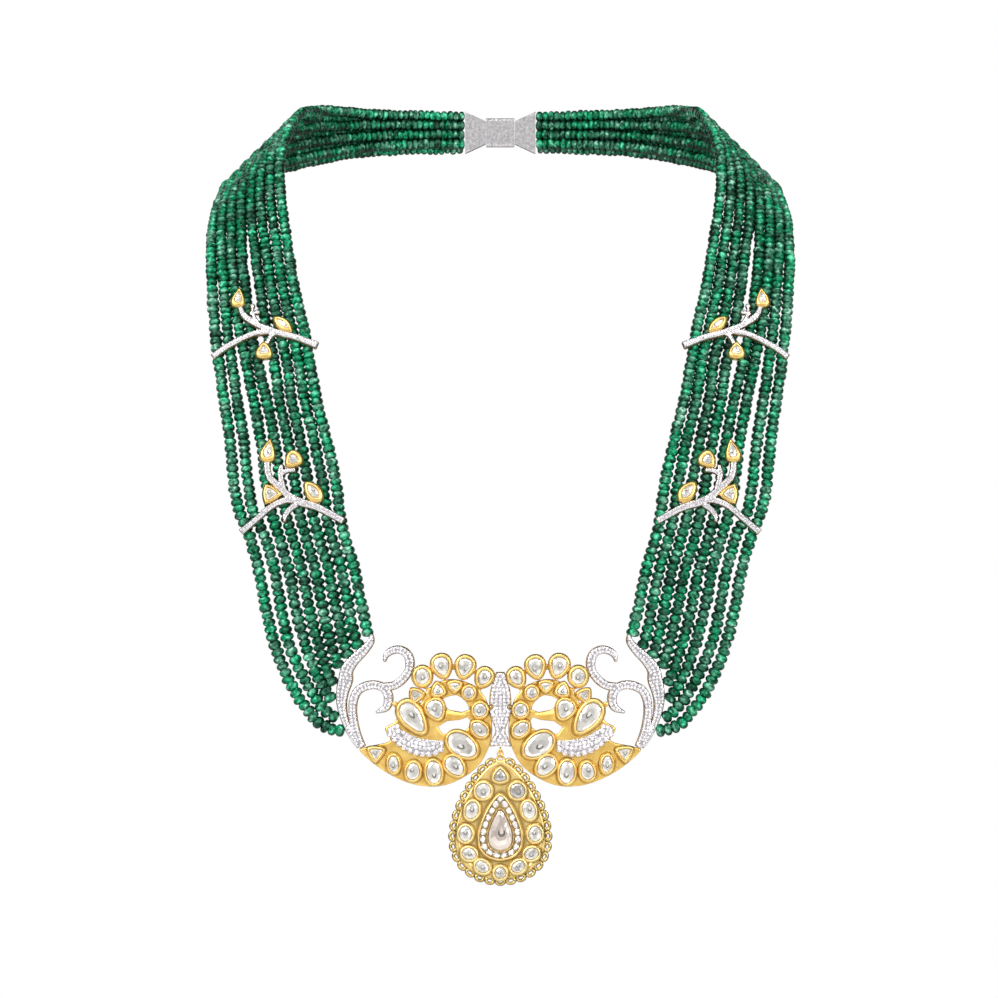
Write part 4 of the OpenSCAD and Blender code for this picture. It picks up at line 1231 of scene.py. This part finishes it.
def add_strands():
    for side in SIDES:
        for i in range(STRAND_COUNT):
            points, faces, tones = strand_beads(i, STRAND_SEED * i + SIDES.index(side))
            if side == "right":
                points = points * np.array([-1, 1, 1])
            name = f"{side}_{i + 1}"
            piece = add_mesh("beads_" + name, points, faces, EMERALD, tones, side == "right")
            settle(piece, "necklace", "emerald_beads", "strand_" + name)


# Spacers: place, tilt, the solids' bead radius, twigs with the two of the back bar first, lobes, posts,
# leaves
SPACERS = {
    "upper": (UPPER_SPACER, UPPER_TILT, UPPER_BEAD_R,
              [UPPER_ARC, UPPER_RIGHT, UPPER_STEM, UPPER_TWIG, UPPER_BUD],
              UPPER_LOBES, UPPER_POSTS, UPPER_LEAVES),
    "lower": (LOWER_SPACER, LOWER_TILT, LOWER_BEAD_R,
              [LOWER_ARC, LOWER_RIGHT, LOWER_STEM, LOWER_TWIG, LOWER_BRANCH, LOWER_HOOK],
              [], LOWER_POSTS, LOWER_LEAVES),
}


def add_spacer(side, level):
    origin, tilt, bead_r, twigs, lobes, posts, leaves = SPACERS[level]
    front = bead_r + SPACER_GAP
    back = front + BACK_BAR_T
    lean = math.tan(math.radians(tilt))
    lower = -(front + TWIG_T / 2) * lean
    higher = front * lean * BACK_SHARE
    name, node_name = f"{side}_{level}", f"spacer_{side}_{level}"
    where = place(origin, tilt, side)
    face = moved(where, lower, front)
    add_twigs(name, node_name, face, twigs, lobes)
    bars = twigs[:2]
    loops = [ribbon(rows) for rows in bars]
    bar = relief(box_of(bars), BAR_CELL, lambda x, z: joined(x, z, loops), plain_front(BACK_BAR_T, BAR_ROUND))
    add_piece(f"back_bar_{name}", bar, moved(where, higher, -back), WHITE_GOLD, node_name)
    pins = [post_mesh(p, (lower + higher) / 2, BACK_BAR_T / 2 - back, front + TWIG_T / 4) for p in posts]
    add_piece(f"posts_{name}", untoned(join(pins)), where, WHITE_GOLD, node_name)
    add_leaf_cups(name, leaves, face, node_name)


def add_twigs(name, node_name, face, twigs, lobes):
    """The white twigs on their gold edge, drawn darker as painted shade, with their small diamonds."""
    loops = [ribbon(rows) for rows in twigs]
    edge, top = two_layers(box_of(twigs + [lobes]), lambda x, z: joined(x, z, loops, lobes),
                           lambda x, z: joined(x, z, loops, lobes) + TWIG_EDGE, *TWIG_LAYERS)
    add_piece(f"twig_edge_{name}", edge, face, EDGE_SHADE_GOLD, node_name)
    add_piece(f"twig_{name}", top, face, WHITE_GOLD, node_name)
    taken, spots = [], []
    for rows in twigs:
        spots += rows_along(rows, PAVE_D, TWIG_T - TWIG_SET, taken, TWIG_RIM)
    for lobe in lobes:
        add_spot(spots, taken, lobe[0], lobe[1], TWIG_T - TOP_DROP, PAVE_D)
    add_piece(f"twig_pave_{name}", brilliant(spots, table=TWIG_TABLES), face, PAVE, node_name)


def post_mesh(row, shift, low, high, sides=12):
    """An upright round post between two heights."""
    ring = circle_path(row[2] / 2, sides) + np.array([row[0], row[1] + shift])
    points = np.vstack([np.column_stack([ring, np.full(sides, out)]) for out in (low, high)])
    faces = loft_faces(2, sides)
    faces.append([sides + i for i in range(sides)])
    faces.append([sides - 1 - i for i in range(sides)])
    return points, faces, [1.0] * len(faces)


def box_of(groups, margin=2.5):
    """A box round rows of across, up, width."""
    rows = np.array([r[:2] for g in groups for r in g])
    return [*(rows.min(axis=0) - margin), *(rows.max(axis=0) + margin)]


def cup_row(row):
    """A leaf cup: its stone's outline made larger, with a sharper tip."""
    across, up, width, height, turn, taper, *rest = row
    return [across, up, width + 2 * LEAF_WALL, height + CUP_STRETCH * LEAF_WALL, turn,
            min(CUP_SHARPEST, taper * CUP_SHARPER)] + rest


def add_leaf_cups(name, leaves, face, node_name):
    floor = LEAF_CUP_H / 2
    parts = []
    for row in leaves:
        inner, outer = outline(row, OUTLINE_POINTS), outline(cup_row(row), OUTLINE_POINTS)
        parts.append(bezel(inner, outer, floor, floor))
        base = np.column_stack([outer, np.zeros(OUTLINE_POINTS)])
        parts.append((base, [list(range(OUTLINE_POINTS))[::-1]], [1.0]))
    add_piece(f"leaf_cups_{name}", join(parts), face, LEAF_GOLD, node_name)
    stones = polki(leaves, floor + PIECE_GAP, floor)
    add_piece(f"leaf_polki_{name}", stones, face, POLKI, f"leaf_stones_{name}")


# Peacocks
BIRD_STONES = CREST + NECK_STONES + TAIL_STONES + [BODY_STONE, HEAD_STONE, BREAST_STONE]
BIRD_WALLS = [CREST_WALL] * len(CREST) + [BEZEL_WALL] * (len(BIRD_STONES) - len(CREST))
BIRD_WALLS[BIRD_STONES.index(BODY_STONE)] = BODY_WALL
BIRD_BOX = [-33.5, -20.5, 17, 28.5]
# Nodes of the bird's stones, without their side, and the stones of each
BIRD_GEMS = [(f"crest_stone_{{}}_{i + 1}", [row]) for i, row in enumerate(CREST)] + [
    ("neck_stones_{}", NECK_STONES), ("tail_stones_{}", TAIL_STONES), ("body_stone_{}", [BODY_STONE]),
    ("head_stone_{}", [HEAD_STONE]), ("breast_stone_{}", [BREAST_STONE]),
]
# How far the beak's edge lies below the plate's front, and how wide its rounding is
BEAK_SINK = 0.4
BEAK_ROUND = 1.3


def bird_distance(x, z):
    """Signed distance to the bird's whole area."""
    rims = bezel_rims(x, z, BIRD_STONES, BIRD_WALLS)
    d = joined(x, z, [spline(BIRD_OUTLINE, BIRD_STEPS, True)], KNOBS + CREST_WEBS)
    d = np.minimum(d, np.minimum.reduce(rims))
    kept = np.minimum.reduce([rims[-2], rims[-1], distance(x, z, BEAK)])
    d = np.maximum(d, -np.maximum(joined(x, z, [UPPER_GAP, LOWER_GAP]), -kept))
    return np.maximum(d, -joined(x, z, [], SMALL_GAPS))


def bird_height(x, z, d):
    """Front of the bird's plate, with its rounded edge and its beak."""
    beak = np.clip(-distance(x, z, BEAK) / BEAK_ROUND, 0, 1)
    return np.maximum(rounded(d, PLATE_T, EDGE_ROUND),
                      np.where(beak > 0, PLATE_T - BEAK_SINK + np.sqrt(beak), 0))


def add_birds():
    # The plate carries painted shade at the foot of its bezels
    bird = relief(BIRD_BOX, FINE_CELL, bird_distance, bird_height,
                  shade=lambda x, z: crease_shade(x, z, BIRD_STONES, BIRD_WALLS))
    bezels = join([stone_bezel(row, wall, PLATE_T) for row, wall in zip(BIRD_STONES, BIRD_WALLS)])
    for side in SIDES:
        where = place([BIRD_X, BIRD_BACK_Y, BIRD_Z], 0, side)
        add_piece(f"bird_{side}", bird, where, YELLOW_GOLD, f"peacock_{side}")
        add_piece(f"bird_bezels_{side}", bezels, where, BEZEL_GOLD, f"peacock_{side}")
        for pattern, rows in BIRD_GEMS:
            node_name = pattern.format(side)
            stones = polki(rows, PLATE_T + PIECE_GAP, BEZEL_H * STONE_RISE)
            add_piece("polki_" + node_name, stones, where, POLKI, node_name)


# Wings
WING_BOX = [-26, -11, 0, 6]
WING_ROUND = 0.4
WING_SAMPLES = 60
# Rows of small diamonds: how far each lies from the wing's top edge to its lower one
WING_ROWS = (0.64, 0.36, 0.10)
WING_ROW_START = 0.5
WING_ROW_STEP = 0.96
WING_MARGIN = 0.35


def wing_distance(x, z):
    low = spline(WING_LOW, WING_STEPS)
    scallops = [[*spot, WING_SCALLOP_R] for spot in evenly(low, WING_SCALLOPS)]
    d = joined(x, z, [np.vstack([spline(WING_TOP, WING_TOP_STEPS), low])], scallops)
    for rim in bezel_rims(x, z, BIRD_STONES, BIRD_WALLS):
        d = np.maximum(d, PIECE_GAP - rim)
    return d


def wing_spots():
    """Pave stones of the wing: rows from the scalloped edge to the top one."""
    top = evenly(spline(WING_TOP, WING_STEPS), WING_SAMPLES)
    low = evenly(spline(WING_LOW, WING_STEPS)[::-1], WING_SAMPLES)
    spots, taken = [], []
    for x, z in evenly(spline(WING_LOW, WING_STEPS), WING_SCALLOPS):
        add_spot(spots, taken, x, z, WING_T, SCALLOP_STONE_D)
    for share in WING_ROWS:
        path = top + (low - top) * share
        table = running_length(path)
        for s in np.arange(WING_ROW_START, table[-1], WING_PAVE_D * WING_ROW_STEP):
            add_spot(spots, taken, *at_length(path, table, s), WING_T - WING_SET, WING_PAVE_D)
    return kept_spots(spots, wing_distance, WING_MARGIN)


def add_wings():
    wing = relief(WING_BOX, FINE_CELL, wing_distance, plain_front(WING_T, WING_ROUND))
    stones = brilliant(wing_spots())
    for side in SIDES:
        where = place([BIRD_X, BIRD_BACK_Y - PLATE_T - PIECE_GAP, BIRD_Z], 0, side)
        add_piece(f"wing_plate_{side}", wing, where, WHITE_GOLD, f"wing_{side}")
        add_piece(f"wing_pave_{side}", stones, where, PAVE, f"wing_{side}")


# End bars and scrolls
SCROLL_BARS = [END_BAR, INNER_SCROLL, UPPER_SCROLL]
SCROLL_RIM = 0.3
SCROLL_MARGIN = 0.45
# The white top lies a little to the side of its gold edge, and is narrower
GOLD_EDGE_SHIFT = 0.15
GOLD_EDGE = 0.14


def scroll_distance(x, z, shrink=0.0):
    """Signed distance to the three bars, made narrower by shrink, clear of the bird."""
    d = joined(x, z, [ribbon(rows) for rows in SCROLL_BARS])
    return np.maximum(d + shrink, PIECE_GAP - bird_distance(x, z))


def add_scrolls():
    edge, top = two_layers(box_of(SCROLL_BARS, margin=3), scroll_distance,
                           lambda x, z: scroll_distance(x + GOLD_EDGE_SHIFT, z, GOLD_EDGE), *SCROLL_LAYERS)
    spots, taken = [], []
    for rows in SCROLL_BARS:
        spots += rows_along(rows, SCROLL_PAVE_D, SCROLL_T - PAVE_SET, taken, SCROLL_RIM)
    spots = kept_spots(spots, scroll_distance, SCROLL_MARGIN)
    stones = brilliant([(s[0] - GOLD_EDGE_SHIFT, *s[1:]) for s in spots])
    for side in SIDES:
        where = place([BIRD_X, SCROLL_BACK_Y, BIRD_Z], 0, side)
        add_piece(f"scroll_edge_{side}", edge, where, EDGE_SHADE_GOLD, f"scroll_{side}")
        add_piece(f"scroll_top_{side}", top, where, WHITE_GOLD, f"scroll_{side}")
        add_piece(f"scroll_pave_{side}", stones, where, PAVE, f"scroll_{side}")


# Centre body
CENTRE_BOX = [-5, -213, 5, -186]
CENTRE_EDGE = 0.12
CENTRE_RIM = 0.85
CENTRE_MARGIN = 0.42
CENTRE_ROW_STEP = 0.93
CENTRE_ROWS = (-211.0, -188)


def centre_distance(x, z):
    right = spline(CENTRE_OUTLINE, CENTRE_STEPS)[:, ::-1]
    left = right[::-1] * np.array([-1, 1])
    loop = np.vstack([right, [[0, right[-1][1] + CENTRE_TAIL_NOTCH]], left])
    return np.maximum(distance(x, z, loop), PIECE_GAP - bird_distance(-np.abs(x) - BIRD_X, z - BIRD_Z))


def centre_spots():
    """Pave stones of the centre body, in level rows."""
    spots, taken = [], []
    heights, widths = np.array(CENTRE_OUTLINE).T
    for z in np.arange(*CENTRE_ROWS, CENTRE_PAVE_D * CENTRE_ROW_STEP):
        half = np.interp(-z, -heights, widths) - CENTRE_RIM
        count = max(1, int(round(2 * half / CENTRE_PAVE_D)) + 1)
        for k in range(count):
            x = 0 if count == 1 else -half + 2 * half * k / (count - 1)
            add_spot(spots, taken, x, z, CENTRE_T - PAVE_SET, CENTRE_PAVE_D)
    return kept_spots(spots, centre_distance, CENTRE_MARGIN)


def add_centre_body():
    where = place([0, CENTRE_BACK_Y, 0])
    edge, top = two_layers(CENTRE_BOX, centre_distance, lambda x, z: centre_distance(x, z) + CENTRE_EDGE,
                           *CENTRE_LAYERS)
    add_piece("centre_edge", edge, where, EDGE_SHADE_GOLD, "centre_body")
    add_piece("centre_top", top, where, WHITE_GOLD, "centre_body")
    add_piece("centre_pave", brilliant(centre_spots()), where, PAVE, "centre_body")
    ring = circle_path(TAIL_RING_R, RING_POINTS) + np.array([HINGE_Z, CENTRE_BACK_Y - HINGE_Y])
    ring = swept_ring(np.column_stack([np.zeros(RING_POINTS), ring]), RING_WIRE_D / 2)
    add_piece("centre_ring", untoned(ring), where, YELLOW_GOLD, "centre_body")


# Drop
DROP_BOX = [-17, -21.5, 17, 23]
DROP_CELL = FINE_CELL * 0.9
# How far the painted shade at the foot of the drop's bezels reaches, and how light the halo's slot is
# painted, a painted shade in that recess
DROP_CREASE = 0.7
HALO_CREASE = 1.3
HALO_SLOT_SHADE = 0.45
# Painted shade: how much darker the plate is inside its raised rim, and over what width it changes
INSIDE_SHADE = 0.10
INSIDE_FADE = 0.5
HALO_PEAR = pear(*HALO_BEZEL, HALO_POINTS) + np.array([0, HALO_Z])


def drop_distance(x, z):
    d = joined(x, z, [pear(DROP_W, DROP_H, DROP_TAPER, DROP_POINTS)], [[0, CROWN_Z, CROWN_R]])
    slit = np.maximum(np.abs(x) - CROWN_SLIT[0] / 2, np.abs(z - CROWN_SLIT_Z) - CROWN_SLIT[1] / 2)
    return np.maximum(d, -slit)


def drop_height(x, z, d):
    """Recessed plate with a smooth raised rim."""
    rim = np.clip(-d / RIM_WIDTH, 0, 1)
    return rounded(d, DROP_T, EDGE_ROUND) + RIM_RISE * np.maximum(0, 1 - np.abs(2 * rim - 1) ** 3)


def drop_shade(x, z):
    """Painted shade: darker next to the bezels, a little darker inside the rim, half dark in the halo's slot.
    """
    halo = distance(x, z, HALO_PEAR)
    creases = crease_shade(x, z, DROP_STONES, [BEZEL_WALL] * len(DROP_STONES), DROP_CREASE)
    creases = np.minimum(creases, np.clip(halo / HALO_CREASE, 0, 1))
    inside = np.clip((-drop_distance(x, z) - RIM_WIDTH) / INSIDE_FADE, 0, 1)
    return np.where(halo < 0, HALO_SLOT_SHADE, creases * (1 - INSIDE_SHADE * inside))


def drop_bezels():
    """Bezels of the outer stones, the outer rim of the halo, and the centre stone's bezel."""
    parts = [stone_bezel(row, BEZEL_WALL, DROP_T) for row in DROP_STONES]
    parts.append(bezel(HALO_PEAR - outward_of(HALO_PEAR) * HALO_BEZEL_WALL, HALO_PEAR, DROP_T, BEZEL_H))
    centre = outline(DROP_CENTRE_STONE, HALO_POINTS)
    edge = centre + outward_of(centre) * CENTRE_WALL
    return join(parts + [bezel(centre, edge, DROP_T, CENTRE_STONE_LIFT * BEZEL_H)])


def drop_loops():
    """The small wire loops round the plate."""
    grown = LOOP_WIDE - 2 * LOOP_WIRE
    line = pear(DROP_W + grown, DROP_H + grown, DROP_TAPER, LOOP_LINE_POINTS)
    spots = evenly(closed(line), 2 * LOOP_COUNT)
    ring = circle_path(1, LOOP_POINTS)
    long_r = LOOP_LONG / 2 - LOOP_BEAD_R - LOOP_DRAW_IN
    wide_r = LOOP_WIDE / 2 - LOOP_BEAD_R
    parts = []
    for k in range(1, LOOP_COUNT):
        ahead = unit(spots[2 * k + 1] - spots[2 * k - 1])
        across = np.array([-ahead[1], ahead[0]])
        flat = spots[2 * k] + ring[:, :1] * long_r * ahead + ring[:, 1:] * wide_r * across
        path = np.column_stack([flat, np.full(LOOP_POINTS, DROP_T * LOOP_LIFT)])
        parts.append(swept_ring(path, LOOP_BEAD_R))
    return join(parts)


def drop_bail():
    ring = circle_path(BAIL_RING_R, RING_POINTS) + np.array([0, HINGE_Z - BAIL_RING_R - DROP_Z])
    return swept_ring(np.column_stack([ring, np.full(RING_POINTS, DROP_T / 2)]), RING_WIRE_D / 2)


def halo_diamonds():
    line = HALO_PEAR - outward_of(HALO_PEAR) * (HALO_BEZEL_WALL + HALO_GAP + HALO_D / 2)
    points = evenly(closed(line), HALO_COUNT * 2)
    spots = []
    for k in range(HALO_COUNT):
        ahead = points[2 * k + 1] - points[2 * k - 1] if k else np.array([1, 0])
        turn = math.atan2(ahead[1], ahead[0])
        spots.append((*points[2 * k], DROP_T + HALO_LIFT * BEZEL_H, HALO_D * HALO_GROWTH, HALO_STRETCH, turn))
    return brilliant(spots, sides=10)


def add_drop():
    where = place([0, HINGE_Y + DROP_T / 2, DROP_Z])
    plate = relief(DROP_BOX, DROP_CELL, drop_distance, drop_height, shade=drop_shade)
    add_piece("drop_plate", plate, where, PALE_GOLD, "drop_frame")
    add_piece("drop_bezels", drop_bezels(), where, PALE_BEZEL_GOLD, "drop_frame")
    add_piece("drop_loops", drop_loops(), where, WIRE_GOLD, "drop_frame")
    add_piece("drop_bail", untoned(drop_bail()), where, YELLOW_GOLD, "drop_frame", "pale_gold")
    base = DROP_T + PIECE_GAP
    centre = polki([DROP_CENTRE_STONE], base, CENTRE_STONE_LIFT * BEZEL_H, facets=9, points=36,
                   lights=[CENTRE_LIGHT])
    add_piece("polki_drop_centre", centre, where, WARM_POLKI, "drop_centre_stone")
    stones = polki(DROP_STONES, base, BEZEL_H * STONE_RISE, lights=DROP_LIGHTS)
    add_piece("polki_drop_ring", stones, where, POLKI, "drop_stones")
    add_piece("halo_diamonds", halo_diamonds(), where, PAVE, "drop_halo")


def dress_clasp():
    """The clasp and the end caps keep their own solids."""
    for name in ("clasp", "end_cap_left", "end_cap_right"):
        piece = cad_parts[name]
        piece.data.materials.clear()
        piece.data.materials.append(WHITE_GOLD)


add_camera()
add_floor()
add_world()
bpy.context.scene.view_settings.view_transform = "Standard"
for light_row in LIGHTS:
    add_light(*light_row)
add_strands()
for side_name in SIDES:
    add_spacer(side_name, "upper")
    add_spacer(side_name, "lower")
add_birds()
add_wings()
add_scrolls()
add_centre_body()
add_drop()
dress_clasp()
